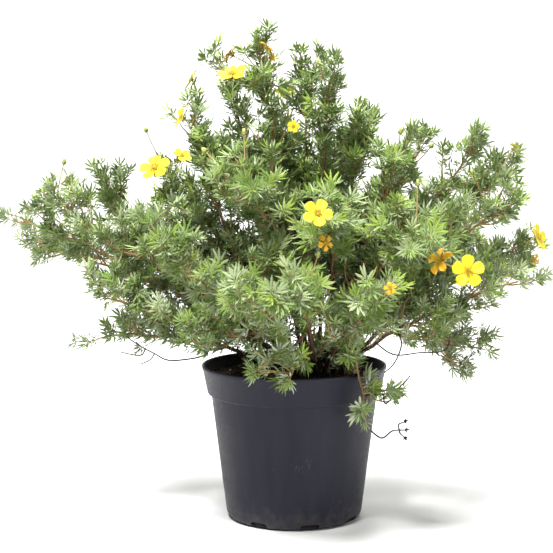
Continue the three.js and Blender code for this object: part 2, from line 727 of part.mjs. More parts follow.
const blooms = BLOOMS.map(([x, y, z, bearing, rise, radius, age], i) => {
  const bloom = { centre: vec(x, y, z), facing: heading(bearing * DEGREE, rise * DEGREE), radius, age };
  bloom.across = sideOf(bloom.facing).applyAxisAngle(bloom.facing, i);
  for (let petal = 0; petal < PETALS; petal += 1) {
    const spoke = bloom.across.clone().applyAxisAngle(bloom.facing, petal * PETAL_TURN);
    spoke.multiplyScalar(0.75 * radius).addScaledVector(bloom.facing, 0.15 * radius);
    place({ a: bloom.centre, b: bloom.centre.clone().add(spoke), radius: 0.3 * radius, bloom });
  }
  return bloom;
});

const feet = placeFeet();
STEMS.forEach(([main, fork], stem) => addFork(stem, addStem(stem, feet[stem], main), fork));
const wiry = WIRY_TWIGS.map(([stem, , bends]) => addWiry(stem, bends));
for (const bloom of blooms) {
  const calyx = bloom.centre.clone().addScaledVector(bloom.facing, -BLOOM_SEAT - CLEARANCE - CALYX_DEPTH);
  bloom.stalk = addStalk(calyx, bloom.facing, bloom);
}
const buds = BUDS.map(([x, y, z]) => addStalk(vec(x, y, z), UP));
paths.filter((p) => p.kind === "stem" || p.kind === "fork").forEach(addShoots);
const leafy = paths.filter((p) => p.kind === "stem" || p.kind === "fork" || p.kind === "shoot");

const heads = new Map();
for (const { stalk, radius, centre, across, facing } of blooms) {
  const above = centre.clone().addScaledVector(facing, -BLOOM_SEAT - CLEARANCE);
  const outline = calyxOutline(radius).map((lobe) => posed(lobe, centre, across, facing));
  heads.set(stalk, { outline, above });
}
for (const stalk of buds) heads.set(stalk, budOn(stalk, BUD_RADIUS, BUD_LENGTH));
WIRY_TWIGS.forEach(([, dried], i) => dried && heads.set(wiry[i], budOn(wiry[i], HEAD_RADIUS, HEAD_LENGTH)));
for (const path of leafy) {
  const outline = settle(path, 1, TUFT_LEAFLETS, TUFT_RISES, TUFT_SEAT);
  const { point, way } = along(path, 1);
  if (outline) heads.set(path, { outline, above: point.addScaledVector(way, TUFT_DEPTH) });
}
const whorls = new Map();
for (const path of leafy.filter((p) => p.kind !== "shoot")) {
  const share = 1 - WHORL_BACK / lengthOf(path.points);
  const outline = settle(path, share, WHORL_LEAFLETS, WHORL_RISES, WHORL_SEAT);
  if (outline) whorls.set(path, { share, outline });
}

const growth = STEMS.map(() => []);
for (const path of paths) {
  const sides = path.kind === "stem" ? STEM_SIDES : TWIG_SIDES;
  growth[path.stem].push(tube(path, sides, whorls.get(path), heads.get(path)));
}

const numbered = (word, i) => `${word}_${String(i + 1).padStart(2, "0")}`;
addPiece("pot", potSolid(), "#34353a", 0.55);
addPiece("soil", soilSolid(feet), "#2a1d16", 0.95);
growth.forEach((solids, i) => addPiece(numbered("leafy_stem", i), fuse(solids), "#5d7f3c", 0.7));
blooms.forEach((bloom, i) =>
  addPiece(numbered("bloom", i), bloomSolid(bloom), bloom.age ? "#f0a818" : "#f7e21c", 0.6),
);

export default group;
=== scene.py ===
"""A shrubby cinquefoil in a black nursery pot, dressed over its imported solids.

The stems, forks, side shoots and flower stalks are found again by the same rules and named sizes as the
solids, and are then grown out with finer twigs, leaves, petals and stamens. Sizes are in millimetres
until a mesh is made, and metres from there on.
"""

import math

import bmesh
import bpy
import numpy as np
from mathutils import Matrix, Vector, noise


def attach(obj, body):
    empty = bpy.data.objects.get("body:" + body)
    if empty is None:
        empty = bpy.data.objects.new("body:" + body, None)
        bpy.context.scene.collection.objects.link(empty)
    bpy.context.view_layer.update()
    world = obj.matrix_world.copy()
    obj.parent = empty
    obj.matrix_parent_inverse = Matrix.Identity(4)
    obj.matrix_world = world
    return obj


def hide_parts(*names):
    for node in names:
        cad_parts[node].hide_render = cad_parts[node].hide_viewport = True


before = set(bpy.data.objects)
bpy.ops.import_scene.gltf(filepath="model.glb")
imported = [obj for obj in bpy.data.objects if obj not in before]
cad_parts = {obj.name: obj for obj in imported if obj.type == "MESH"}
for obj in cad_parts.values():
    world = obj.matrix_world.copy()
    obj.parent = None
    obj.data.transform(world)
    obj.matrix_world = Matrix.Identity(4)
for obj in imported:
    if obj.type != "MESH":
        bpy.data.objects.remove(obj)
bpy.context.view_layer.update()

MM = 0.001
DEGREE = math.pi / 180
GOLDEN_TURN = 137.508 * DEGREE
DRAW_FACTOR, DRAW_MODULUS = 16807, 2147483647  # of the repeatable draws

# Pot
POT_HEIGHT = 160
RIM_RADIUS = 95
BAND_FOOT_RADIUS = 89.5
BAND_FOOT = 131.5
STEP_HEIGHT = 2.5
WALL_TOP_RADIUS = 85.5
WALL_FOOT_RADIUS = 70.5
WALL = 2
FOOT_ROUNDING = 9
FLOOR = 3
SLOTS = 8
SLOT_WIDTH = 19
SLOT_HEIGHT = 7
SLOT_TURN = -77 * DEGREE
POT_GAP = 1
POT_STEP = 3  # how closely a stretch is tested for the pot

# Soil and the crown that the stems rise from
SOIL_TOP = 149
SOIL_BUMP = 1.5
CROWN = np.array([22.0, 0.0, SOIL_TOP])
CROWN_INNER = 7
CROWN_OUTER = 31
COLLAR = 4
FOOT_SPACING = 9
FOOT_ROUNDS = 40
STEM_DEPTH = 18

# Stems, forks, side shoots and flower stalks
STEM_RADIUS = 2.5
STEM_STEPS = 6
# How steeply a stem leaves its collar, in degrees: the least, how much more when upright, and the most.
STEM_LOW, STEM_MORE, STEM_MOST = 12, 104, 84
ARCH_HOLD = 0.36  # how far a curve keeps its first and last way, as a share of its chord
TWIG_GAP = 1.2
FORK_SHARE = 0.72
FORK_LOW = 0.2
FORK_HIGH = 0.45
FORK_STEPS = 5
FORK_RISE = 30 * DEGREE
TIP_RADIUS = 0.85
SHOOT_SHARE = 0.7
SHOOT_TIP_RADIUS = 0.6
SHOOT_EVERY = 125
SHOOT_LOWEST = 0.12
SHOOT_HIGHEST = 0.96
SHOOT_LONG = 100
SHOOT_SHORT = 42
SHOOT_BEND_AT = 0.55
SHOOT_LIFT = 0.3
SHOOT_LIFT_BEYOND_BEND = 0.45
SHOOT_TRIES = 12
SHOOT_SPLAY, SHOOT_SPLAY_MORE = 38, 22  # from the parent, in degrees
STALK_REACH = 46
STALK_STEPS = 2
STALK_TRIES = 24
STALK_LOWEST, STALK_HIGHEST, STALK_EVERY = 0.5, 0.98, 0.04
STALK_BEND_COST = 30
WIRY_RADIUS = 0.9
WIRY_TIP_RADIUS = 0.6
WIRY_LOWEST, WIRY_EVERY, WIRY_PLACES = 0.14, 0.05, 17
SWAYS = range(20)
SWAY = 3

# Blooms
PETALS = 5
PETAL_TURN = 2 * math.pi / PETALS
PETAL_VEINS = 11
BLOOM_SEAT = 1
CLEARANCE = 0.35
CALYX_DEPTH = 1.6

UNDERSIDE = 2  # how far the UVs of a leaflet's underside lie beyond those of its upper side

# Each stem: the tip of its main path and of its fork, as x, y, z and the rise of the tip in degrees.
STEMS = [
    [[-288, -10, 316, 25], [-284, 60, 277, 10]],
    [[-247, -60, 349, 50], [-213, 50, 356, 60]],
    [[-205, 45, 183, -5], [-201, -80, 239, 10]],
    [[-152, 60, 390, 60], [-115, -50, 431, 60]],
    [[-76, 10, 492, 75], [-86, 130, 421, 70]],
    [[-40, -25, 506, 80], [-52, -160, 371, 60]],
    [[3, 30, 481, 75], [-3, 130, 416, 70]],
    [[38, -40, 468, 70], [62, 120, 399, 65]],
    [[87, 30, 423, 65], [30, -190, 336, 50]],
    [[146, 60, 402, 55], [104, -90, 392, 60]],
    [[192, -20, 398, 55], [112, -190, 309, 40]],
    [[233, 50, 370, 45], [222, -60, 337, 35]],
    [[240, 20, 281, 20], [210, 190, 295, 35]],
    [[240, -60, 259, 20], [190, 30, 186, 40]],
    [[-55, -215, 257, 15], [-120, -185, 299, 45]],
    [[2, -230, 264, 15], [-8, -114, 151, -75]],
    [[77, -204, 254, 24], [71, -76, 104, -80]],
    [[-165, 200, 277, 40], [-96, 220, 211, 10]],
    [[-32, 225, 334, 50], [10, 232, 209, 10]],
    [[96, 210, 329, 50], [126, 205, 212, 10]],
]

# Each bloom: x, y, z of its centre, the bearing and rise it faces in degrees, its radius,
# and whether it is past its best and turning orange.
BLOOMS = [
    [-134, -110, 366, -112, 45, 17, 0],
    [-110, -84, 377, -50, 50, 11, 0],
    [-102, -40, 451, 178, 30, 13, 0],
    [-111, -60, 414, -160, 20, 12, 0],
    [-62, -45, 456, -118, 58, 17, 0],
    [-65, 2, 478, 168, 40, 12, 1],
    [-25, -38, 480, 12, 35, 14, 1],
    [-2, -70, 405, -80, 10, 7, 0],
    [18, -218, 330, -85, 30, 15, 0],
    [26, -207, 303, -60, 10, 9, 1],
    [129, -192, 286, -140, 25, 15, 1],
    [157, -176, 274, -90, 12, 17, 0],
    [250, 0, 291, -32, 20, 16, 0],
    [246, -8, 268, -60, -10, 8, 1],
    [230, 36, 383, 20, 60, 7, 0],
    [84, -205, 262, -90, 20, 7, 1],
    [-226, -44, 352, 150, 50, 9, 1],
    [-60, 214, 338, 100, 40, 16, 0],
    [70, 205, 366, 80, 50, 14, 0],
    [186, 160, 336, 40, 40, 15, 0],
    [-196, 128, 322, 140, 35, 15, 0],
    [150, 190, 250, 60, 10, 13, 1],
    [-8, 120, 440, 90, 60, 13, 0],
]

# Buds: x, y, z of the end of the stalk that carries each one.
BUDS = [
    [-152, 20, 398], [-85, -110, 381], [-49, -120, 397], [101, -84, 397], [140, 20, 382], [175, -66, 357],
    [113, -146, 350], [97, -140, 336], [-232, -30, 366], [18, -205, 289], [-120, 180, 345], [40, 200, 352],
]

# Leafless wiry twigs: the stem that carries each one, whether a dried head ends it, and its bends.
WIRY_TWIGS = [
    [13, False, [[97, 0, 172], [109, -2, 169], [130, -4, 172], [150, -6, 173], [158, -6, 178],
                 [160, -6, 190]]],
    [13, False, [[107, -50, 188], [100, -58, 171], [89, -68, 162]]],
    [16, False, [[94, -76, 143], [107, -74, 152], [114, -74, 160]]],
    [16, False, [[89, -80, 133], [96, -82, 140], [101, -84, 150]]],
    [16, True, [[85, -82, 99], [96, -82, 106], [108, -82, 107]]],
    [16, True, [[102, -85, 113], [107, -87, 116]]],
    [16, True, [[104, -79, 103], [108, -77, 99]]],
    [2, False, [[-92, 8, 168], [-121, 8, 162], [-134, 8, 163], [-145, 8, 169], [-160, 8, 177],
                [-173, 8, 186]]],
    [2, False, [[-160, 3, 168], [-180, 0, 172]]],
    [2, False, [[-150, 13, 162], [-160, 15, 157]]],
]

UP = np.array([0.0, 0.0, 1.0])


# Curves, as in the solids


def drawer(seed):
    """A repeatable stream of numbers from 0 to 1."""
    state = (seed * 7919 + 104729) % DRAW_MODULUS

    def draw():
        nonlocal state
        state = state * DRAW_FACTOR % DRAW_MODULUS
        return state / DRAW_MODULUS

    draw()
    draw()
    return draw


def unit(v):
    return v / np.linalg.norm(v)


def heading(bearing, rise):
    """The unit vector on a bearing from +X and at a rise above the horizon."""
    flat = math.cos(rise)
    return np.array([math.cos(bearing) * flat, math.sin(bearing) * flat, math.sin(rise)])


def side_of(way):
    """A unit vector square to a way, level where it can be."""
    return unit(np.cross(way, UP if abs(way[2]) < 0.9 else np.array([1.0, 0.0, 0.0])))


def turned(v, axis, angle):
    """A vector turned about a unit axis."""
    cosine, sine = math.cos(angle), math.sin(angle)
    return v * cosine + np.cross(axis, v) * sine + axis * (axis @ v) * (1 - cosine)


def arch(start, leaving, tip, arriving, steps, sway):
    """A curve that leaves its start along one way and reaches its tip along another, and may sway aside."""
    chord = tip - start
    hold = ARCH_HOLD * np.linalg.norm(chord)
    chord = unit(chord)
    aside = turned(side_of(chord), chord, sway * GOLDEN_TURN) * (sway * SWAY)
    a, b = start + leaving * hold + aside, tip - arriving * hold + aside
    return [
        start * (1 - t) ** 3 + a * 3 * t * (1 - t) ** 2 + b * 3 * t * t * (1 - t) + tip * t**3
        for t in (i / steps for i in range(steps + 1))
    ]


def length_of(points):
    return sum(np.linalg.norm(b - a) for a, b in zip(points, points[1:]))


def along(path, share):
    """The point at a share of a path's length, its direction there and its radius."""
    points, radii = path["points"], path["radii"]
    left = share * length_of(points)
    i = 0
    while i < len(points) - 2 and left > np.linalg.norm(points[i + 1] - points[i]):
        left -= np.linalg.norm(points[i + 1] - points[i])
        i += 1
    step = points[i + 1] - points[i]
    part = min(1, left / np.linalg.norm(step))
    return points[i] + step * part, unit(step), radii[i] + (radii[i + 1] - radii[i]) * part


# Room: what has been placed so far, as round-ended rods

room = {"a": [], "b": [], "radius": [], "stem": [], "path": [], "bloom": []}


def place(**rod):
    for key, values in room.items():
        values.append(rod.get(key, -1))


def has_room(rod, gap, kin):
    """True if a rod keeps its gap to all that is placed, apart from its kin."""
    if not room["a"]:
        return True
    c, d = np.array(room["a"]), np.array(room["b"])
    u, v, w = rod["b"] - rod["a"], d - c, rod["a"] - c
    uu, uv, vv, uw, vw = u @ u, v @ u, (v * v).sum(1), w @ u, (v * w).sum(1)
    spread = uu * vv - uv * uv
    crossing = spread > 1e-9
    s = np.where(crossing, np.clip((uv * vw - vv * uw) / np.where(crossing, spread, 1), 0, 1), 0)
    t = np.clip((uv * s + vw) / vv, 0, 1)
    s = np.clip((uv * t - uw) / uu, 0, 1)
    apart = np.linalg.norm(w + s[:, None] * u - t[:, None] * v, axis=1)
    near = apart < rod["radius"] + np.array(room["radius"]) + gap
    return not (near & ~kin).any()


def pot_radius(z):
    """The pot's outer radius at a height, or a little more."""
    if z > BAND_FOOT - 2 * STEP_HEIGHT:
        return RIM_RADIUS
    return WALL_TOP_RADIUS - (WALL_TOP_RADIUS - WALL_FOOT_RADIUS) * (BAND_FOOT - z) / BAND_FOOT


def clear_of_pot(a, b, radius):
    """True if a stretch stays out of the pot's wall and rim and above the soil."""
    reach = radius + POT_GAP
    steps = math.ceil(np.linalg.norm(b - a) / POT_STEP)
    for i in range(steps + 1):
        x, y, z = a + (b - a) * (i / steps)
        out = math.hypot(x, y)
        if out > pot_radius(z) + reach or z > POT_HEIGHT + reach:
            continue
        if z < SOIL_TOP + SOIL_BUMP + reach or out > BAND_FOOT_RADIUS - reach:
            return False
    return True


# Plant

paths = []


def add_path(kind, stem, routes, start, end, parent=-1, bloom=-1, sunk=0):
    """Adds the first of the routes offered that keeps clear of other stems, blooms and the pot."""
    kin = np.zeros(len(room["a"]), bool)
    if parent >= 0:
        kin |= np.array(room["path"]) == parent
    if bloom >= 0:
        kin |= np.array(room["bloom"]) == bloom
    own = np.array(room["stem"], int) == stem
    for points in routes:
        radii = [start + (end - start) * (i / (len(points) - 1)) for i in range(len(points))]
        rods = [
            {"a": a, "b": b, "radius": max(radii[i : i + 2]), "stem": stem, "path": len(paths)}
            for i, (a, b) in enumerate(zip(points, points[1:]))
        ]
        if all(
            (i < sunk or clear_of_pot(rod["a"], rod["b"], rod["radius"]))
            and has_room(rod, TWIG_GAP, kin | own if i == 0 else kin)
            for i, rod in enumerate(rods)
        ):
            for rod in rods:
                place(**rod)
            path = {"kind": kind, "stem": stem, "points": points, "radii": radii, "number": len(paths)}
            paths.append(path)
            return path
    return None


def bearing_of(x, y):
    return math.atan2(y - CROWN[1], x - CROWN[0])


def lean_of(x, y, z):
    """How far a tip lies over to the side, from 0 upright to 1 level with the soil."""
    return math.atan2(math.hypot(x - CROWN[0], y - CROWN[1]), z - SOIL_TOP) / (90 * DEGREE)


def place_feet():
    """The stems' feet stand round the crown on the bearings of their tips, pushed apart where they crowd."""
    feet = []
    for (x, y, z, _), _ in STEMS:
        out = CROWN_INNER + (CROWN_OUTER - CROWN_INNER) * lean_of(x, y, z)
        foot = heading(bearing_of(x, y), 0) * out + CROWN
        foot[2] = SOIL_TOP - STEM_DEPTH
        feet.append(foot)
    for _ in range(FOOT_ROUNDS):
        for i, a in enumerate(feet):
            for b in feet[i + 1 :]:
                apart = a - b
                push = max(0, FOOT_SPACING - np.linalg.norm(apart)) / 2
                apart = unit(apart)
                a += apart * push
                b -= apart * push
    return feet


def add_stem(stem, foot, x, y, z, rise):
    """A main stem stands upright in its hole and then arches out to its tip."""
    bearing, lean = bearing_of(x, y), lean_of(x, y, z)
    collar = np.array([foot[0], foot[1], SOIL_TOP + COLLAR])
    leaving = heading(bearing, min(STEM_MOST, STEM_MORE * (1 - lean) + STEM_LOW) * DEGREE)
    arriving = heading(bearing, rise * DEGREE)
    tip = np.array([x, y, z], float)
    routes = ([foot, *arch(collar, leaving, tip, arriving, STEM_STEPS, sway)] for sway in SWAYS)
    return add_path("stem", stem, routes, STEM_RADIUS, TIP_RADIUS, sunk=2)


def add_fork(stem, parent, x, y, z, rise):
    """A fork leaves its stem low down and arches to a tip of its own."""
    root, way, radius = along(parent, FORK_LOW + (FORK_HIGH - FORK_LOW) * drawer(stem + 1)())
    bearing = math.atan2(y - root[1], x - root[0])
    leaving = unit(way + heading(bearing, FORK_RISE))
    arriving = heading(bearing, rise * DEGREE)
    tip = np.array([x, y, z], float)
    routes = (arch(root, leaving, tip, arriving, FORK_STEPS, sway) for sway in SWAYS)
    return add_path("fork", stem, routes, radius * FORK_SHARE, TIP_RADIUS, parent["number"])


def add_wiry(stem, bends):
    """A thin bare twig that leaves the nearest point of its stem."""
    points = [np.array(p, float) for p in bends]
    shares = [WIRY_LOWEST + WIRY_EVERY * i for i in range(WIRY_PLACES)]
    roots = [(p, along(p, share)[0]) for p in paths if p["stem"] == stem for share in shares]
    parent, root = min(roots, key=lambda offer: np.linalg.norm(offer[1] - points[0]))
    return add_path("wiry", stem, [[root, *points]], WIRY_RADIUS, WIRY_TIP_RADIUS, parent["number"])


def add_stalk(point, facing, bloom=-1):
    """A stalk to a flower head leaves the stem or fork that lies about its own length below the head."""
    offers = []
    for path in (p for p in paths if p["kind"] in ("stem", "fork")):
        share = STALK_LOWEST
        while share < STALK_HIGHEST:
            root, way, radius = along(path, share)
            rise = point - root
            distance = np.linalg.norm(rise)
            bend = math.acos(max(-1, min(1, rise @ way / distance)))
            cost = abs(distance - STALK_REACH) + STALK_BEND_COST * max(0, bend - 1)
            offers.append((cost, path, root, way, radius))
            share += STALK_EVERY
    offers.sort(key=lambda offer: offer[0])
    for _, path, root, way, radius in offers[:STALK_TRIES]:
        straight = unit(point - root)
        leaving, arriving = unit(way + straight), unit(facing + straight)
        routes = (arch(root, leaving, point, arriving, STALK_STEPS, sway) for sway in SWAYS)
        start = radius * SHOOT_SHARE
        stalk = add_path("stalk", path["stem"], routes, start, SHOOT_TIP_RADIUS, path["number"], bloom)
        if stalk:
            return stalk
    return None


def add_shoots(parent, number):
    """Side shoots stand round their parent by the golden angle, longest low down, and turn upwards."""
    count = math.floor(length_of(parent["points"]) / SHOOT_EVERY + 0.5)
    for k in range(count):
        draw = drawer(number * 100 + k + 1)
        share = SHOOT_LOWEST + (SHOOT_HIGHEST - SHOOT_LOWEST) * (k + 0.2 + 0.6 * draw()) / count
        root, along_way, radius = along(parent, share)
        routes = []
        for attempt in range(SHOOT_TRIES):
            turn = k * GOLDEN_TURN + number + (attempt + draw()) * 0.7
            splay = (SHOOT_SPLAY + SHOOT_SPLAY_MORE * draw()) * DEGREE
            usual = SHOOT_SHORT + (SHOOT_LONG - SHOOT_SHORT) * (1 - share)
            long = usual * (0.85 + 0.35 * draw()) - 3 * attempt
            way = along_way * math.cos(splay) + turned(side_of(along_way), along_way, turn) * math.sin(splay)
            way = unit(way + UP * SHOOT_LIFT)
            bend = root + way * (long * SHOOT_BEND_AT)
            rising = unit(way + UP * SHOOT_LIFT_BEYOND_BEND)
            routes.append([root, bend, bend + rising * (long * (1 - SHOOT_BEND_AT))])
        start = radius * SHOOT_SHARE
        add_path("shoot", parent["stem"], routes, start, SHOOT_TIP_RADIUS, parent["number"])


blooms = []
for i, (x, y, z, bearing, rise, radius, age) in enumerate(BLOOMS):
    facing = heading(bearing * DEGREE, rise * DEGREE)
    across = turned(side_of(facing), facing, i)
    centre = np.array([x, y, z], float)
    blooms.append({"centre": centre, "facing": facing, "across": across, "radius": radius, "age": age})
    for petal in range(PETALS):
        spoke = turned(across, facing, petal * PETAL_TURN) * (0.75 * radius) + facing * (0.15 * radius)
        place(a=centre, b=centre + spoke, radius=0.3 * radius, bloom=i)

feet = place_feet()
for stem, (main, fork) in enumerate(STEMS):
    add_fork(stem, add_stem(stem, feet[stem], *main), *fork)
wiry = [add_wiry(stem, bends) for stem, _, bends in WIRY_TWIGS]
for i, bloom in enumerate(blooms):
    calyx = bloom["centre"] - bloom["facing"] * (BLOOM_SEAT + CLEARANCE + CALYX_DEPTH)
    bloom["stalk"] = add_stalk(calyx, bloom["facing"], i)
buds = [add_stalk(np.array(point, float), UP) for point in BUDS]
for number, parent in enumerate([p for p in paths if p["kind"] in ("stem", "fork")]):
    add_shoots(parent, number)


# Nodes and materials


def linear(hex_colour):
    """An sRGB hex colour as linear light."""
    shares = (int(hex_colour[i : i + 2], 16) / 255 for i in (1, 3, 5))
    return (*(c / 12.92 if c <= 0.04045 else ((c + 0.055) / 1.055) ** 2.4 for c in shares), 1.0)


def add_node(tree, kind, inputs=(), **settings):
    """Adds a node with its settings. Each input, by number or label, takes a value, a socket, a node's first
    output, or a list of these."""
    node = tree.nodes.new(kind)
    for name, value in settings.items():
        setattr(node, name, value)
    for key, values in dict(inputs).items():
        for value in values if isinstance(values, list) else [values]:
            if isinstance(value, bpy.types.Node):
                value = value.outputs[0]
            if isinstance(value, bpy.types.NodeSocket):
                tree.links.new(value, node.inputs[key])
            else:
                node.inputs[key].default_value = value
    return node


def new_material(name, roughness, ior=1.5):
    """A material with its tree, its surface, and the place on the object that its patterns read."""
    material = bpy.data.materials.new(name)
    material.use_nodes = True
    tree = material.node_tree
    surface = tree.nodes["Principled BSDF"]
    surface.inputs["Roughness"].default_value = roughness
    surface.inputs["IOR"].default_value = ior
    return material, tree, surface, add_node(tree, "ShaderNodeTexCoord").outputs["Object"]


def paint(tree, surface, first, layers, relief=None, strength=0, depth=0):
    """Lays colours over the first, each by the share beside it, and raises a relief by a depth in metres."""
    colour = linear(first)
    for share, hex_colour in layers:
        both = {0: share, 6: colour, 7: linear(hex_colour)}
        colour = add_node(tree, "ShaderNodeMix", both, data_type="RGBA").outputs[2]
    tree.links.new(colour, surface.inputs["Base Color"])
    if relief:
        bump = add_node(tree, "ShaderNodeBump", {"Strength": strength, "Distance": depth, "Height": relief})
        tree.links.new(bump.outputs[0], surface.inputs["Normal"])


def cinquefoil_leaf():
    """Leaf blade: matt green cuticle with fine silky hairs, paler and greyer beneath, yellow-green when
    young and dark when old. The darkening of the leaves further in is also painted shade, and the
    silvery grey low down is partly painted light."""
    material, tree, surface, place_on = new_material("cinquefoil_leaf", 0.42, 1.45)
    surface.inputs["Sheen Weight"].default_value = 0.06
    surface.inputs["Sheen Roughness"].default_value = 0.4
    youth, old, silver = (
        add_node(tree, "ShaderNodeAttribute", attribute_name=name).outputs["Fac"]
        for name in ("youth", "old", "silver")
    )
    patches = add_node(tree, "ShaderNodeTexNoise", {"Vector": place_on, "Scale": 45, "Detail": 2})
    # The underside's UVs lie beyond the upper side's, so it is paler and shows no rib.
    uv = add_node(tree, "ShaderNodeSeparateXYZ", {0: add_node(tree, "ShaderNodeUVMap", uv_map="UVMap")})
    beneath = add_node(tree, "ShaderNodeMath", {0: uv, 1: UNDERSIDE - 0.5}, operation="GREATER_THAN")
    pale = add_node(tree, "ShaderNodeMath", {0: beneath, 1: 0.5}, operation="MULTIPLY")
    across = add_node(tree, "ShaderNodeMath", {0: uv, 1: UNDERSIDE}, operation="PINGPONG")
    across = add_node(tree, "ShaderNodeMath", {0: across, 1: 0.5}, operation="SUBTRACT")
    across = add_node(tree, "ShaderNodeMath", {0: across}, operation="ABSOLUTE")
    rib = add_node(tree, "ShaderNodeMapRange", {0: across, 1: 0.03, 2: 0.1, 3: 0.45, 4: 0})
    # The old leaves' near-black green is partly painted shade: it darkens the leaves further in along each
    # path, where the bush shades them.
    # The silvery grey is partly the hairs' own colour and partly painted light: it is laid thickest on the
    # low leaves to lighten them.
    layers = [(patches, "#8aab3d"), (old, "#1c3310"), (youth, "#adc043"), (silver, "#b0b89c")]
    layers += [(pale, "#8d9973"), (rib, "#b5c983")]
    # Net veins a little over half a millimetre apart.
    veins = add_node(tree, "ShaderNodeTexVoronoi", {"Vector": place_on, "Scale": 1600})
    paint(tree, surface, "#3a5f1b", layers, veins, 0.25, 0.2 * MM)
    return material


def cinquefoil_bark():
    """Bark: tan and smooth on new twigs, red-brown on older ones, dark, dull and shredding on the oldest."""
    material, tree, surface, place_on = new_material("cinquefoil_bark", 0.72, 1.45)
    age = add_node(tree, "ShaderNodeAttribute", attribute_name="age").outputs["Fac"]
    older = add_node(tree, "ShaderNodeMapRange", {0: age, 1: 0.0, 2: 0.5})
    oldest = add_node(tree, "ShaderNodeMapRange", {0: age, 1: 0.4, 2: 0.9})
    patches = add_node(tree, "ShaderNodeTexNoise", {"Vector": place_on, "Scale": 70, "Detail": 3})
    # Shreds of bark about a millimetre wide, which lift paler than the wood under them.
    fibrous = {"Vector": place_on, "Scale": 900, "Detail": 4, "Roughness": 0.7}
    shreds = add_node(tree, "ShaderNodeTexNoise", fibrous)
    peeling = add_node(tree, "ShaderNodeMapRange", {0: shreds, 1: 0.52, 2: 0.68, 3: 0, 4: 0.3})
    layers = ((patches, "#b48a60"), (older, "#70452f"), (oldest, "#2b211b"), (peeling, "#8a7059"))
    paint(tree, surface, "#94894a", layers, shreds, 0.6, 0.4 * MM)
    return material


def petal(name, body, deep, edge):
    """Petal: thin soft tissue with a satin surface, deeper at the base, with fine veins to its edge."""
    material, tree, surface, place_on = new_material(name, 0.45, 1.4)
    surface.inputs["Sheen Weight"].default_value = 0.1
    uv = add_node(tree, "ShaderNodeSeparateXYZ", {0: add_node(tree, "ShaderNodeUVMap", uv_map="UVMap")})
    base = add_node(tree, "ShaderNodeMapRange", {0: uv.outputs[1], 1: 0.1, 2: 0.5, 3: 1, 4: 0})
    blots = add_node(tree, "ShaderNodeTexNoise", {"Vector": place_on, "Scale": 240, "Detail": 3})
    outer = add_node(tree, "ShaderNodeMath", {0: uv.outputs[1], 1: blots}, operation="MULTIPLY")
    outer = add_node(tree, "ShaderNodeMapRange", {0: outer, 1: 0.42, 2: 0.62, 3: 0, 4: 0.8})
    # The veins are about a millimetre apart where the petal is widest.
    turns = add_node(tree, "ShaderNodeMath", {0: uv, 1: PETAL_VEINS * 2 * math.pi}, operation="MULTIPLY")
    veins = add_node(tree, "ShaderNodeMath", {0: turns}, operation="COSINE")
    lines = add_node(tree, "ShaderNodeMapRange", {0: veins, 1: 0.6, 2: 1, 3: 0, 4: 0.35})
    paint(tree, surface, body, ((base, deep), (outer, edge), (lines, deep)), veins, 0.3, 0.2 * MM)
    return material


def speckled(name, roughness, dark, light, scale, depth):
    """A tissue or grain with a fine mottle, in marks a metre, and a relief whose depth is in metres."""
    material, tree, surface, place_on = new_material(name, roughness, 1.45)
    mottle = add_node(tree, "ShaderNodeTexNoise", {"Vector": place_on, "Scale": scale, "Detail": 4})
    share = add_node(tree, "ShaderNodeMapRange", {0: mottle, 1: 0.35, 2: 0.65})
    paint(tree, surface, dark, ((share, light),), mottle, 0.7, depth)
    return material


def moulded_polypropylene():
    """Black recycled polypropylene, injection moulded: a bluish satin grey-black with faint flow streaks,
    pale scuffs and a film of dust towards the foot."""
    material, tree, surface, place_on = new_material("moulded_polypropylene", 0.45, 1.49)
    surface.inputs["Specular IOR Level"].default_value = 0.18
    upright = add_node(tree, "ShaderNodeMapping", {"Vector": place_on, "Scale": (70, 70, 6)})
    streaks = add_node(tree, "ShaderNodeTexNoise", {"Vector": upright, "Scale": 1, "Detail": 3})
    # Scuffs about a millimetre wide and several long, in patches some centimetres across.
    slant = {"Vector": place_on, "Rotation": (0.5, 0.9, 0.2), "Scale": (900, 60, 240)}
    slanted = add_node(tree, "ShaderNodeMapping", slant)
    scratches = add_node(tree, "ShaderNodeTexNoise", {"Vector": slanted, "Scale": 1, "Detail": 1})
    scuffed = add_node(tree, "ShaderNodeTexNoise", {"Vector": place_on, "Scale": 22, "Detail": 2})
    both = add_node(tree, "ShaderNodeMath", {0: scratches, 1: scuffed}, operation="MULTIPLY")
    marks = add_node(tree, "ShaderNodeMapRange", {0: both, 1: 0.4, 2: 0.52, 3: 0, 4: 0.35})
    rough = add_node(tree, "ShaderNodeMapRange", {0: both, 1: 0.1, 2: 0.5, 3: 0.4, 4: 0.62})
    tree.links.new(rough.outputs[0], surface.inputs["Roughness"])
    height = add_node(tree, "ShaderNodeSeparateXYZ", {0: place_on}).outputs[2]
    low = add_node(tree, "ShaderNodeMapRange", {0: height, 1: 45 * MM, 2: 0.0, 3: 0, 4: 1})
    dust = add_node(tree, "ShaderNodeTexNoise", {"Vector": place_on, "Scale": 130, "Detail": 5})
    dusty = add_node(tree, "ShaderNodeMath", {0: low, 1: dust}, operation="MULTIPLY")
    dusty = add_node(tree, "ShaderNodeMapRange", {0: dusty, 1: 0.25, 2: 0.8, 3: 0, 4: 0.45})
    skin = add_node(tree, "ShaderNodeTexNoise", {"Vector": place_on, "Scale": 1400, "Detail": 2})
    layers = ((streaks, "#292935"), (marks, "#66666d"), (dusty, "#6a655e"))
    paint(tree, surface, "#1a1a24", layers, skin, 0.25, 0.1 * MM)
    return material


leaf_material = cinquefoil_leaf()
bark_material = cinquefoil_bark()
lemon_material = petal("petal_lemon", "#e6d722", "#d3b415", "#e9e045")
orange_material = petal("petal_past_its_best", "#dfae1c", "#bd8610", "#a87616")
# Anthers and filaments: dry, powdery pollen on waxy threads.
anther_material = speckled("anther", 0.8, "#a8821a", "#d8b22e", 2500, 0.1 * MM)
filament_material = speckled("filament", 0.5, "#c4ac22", "#dccb48", 1200, 0.1 * MM)
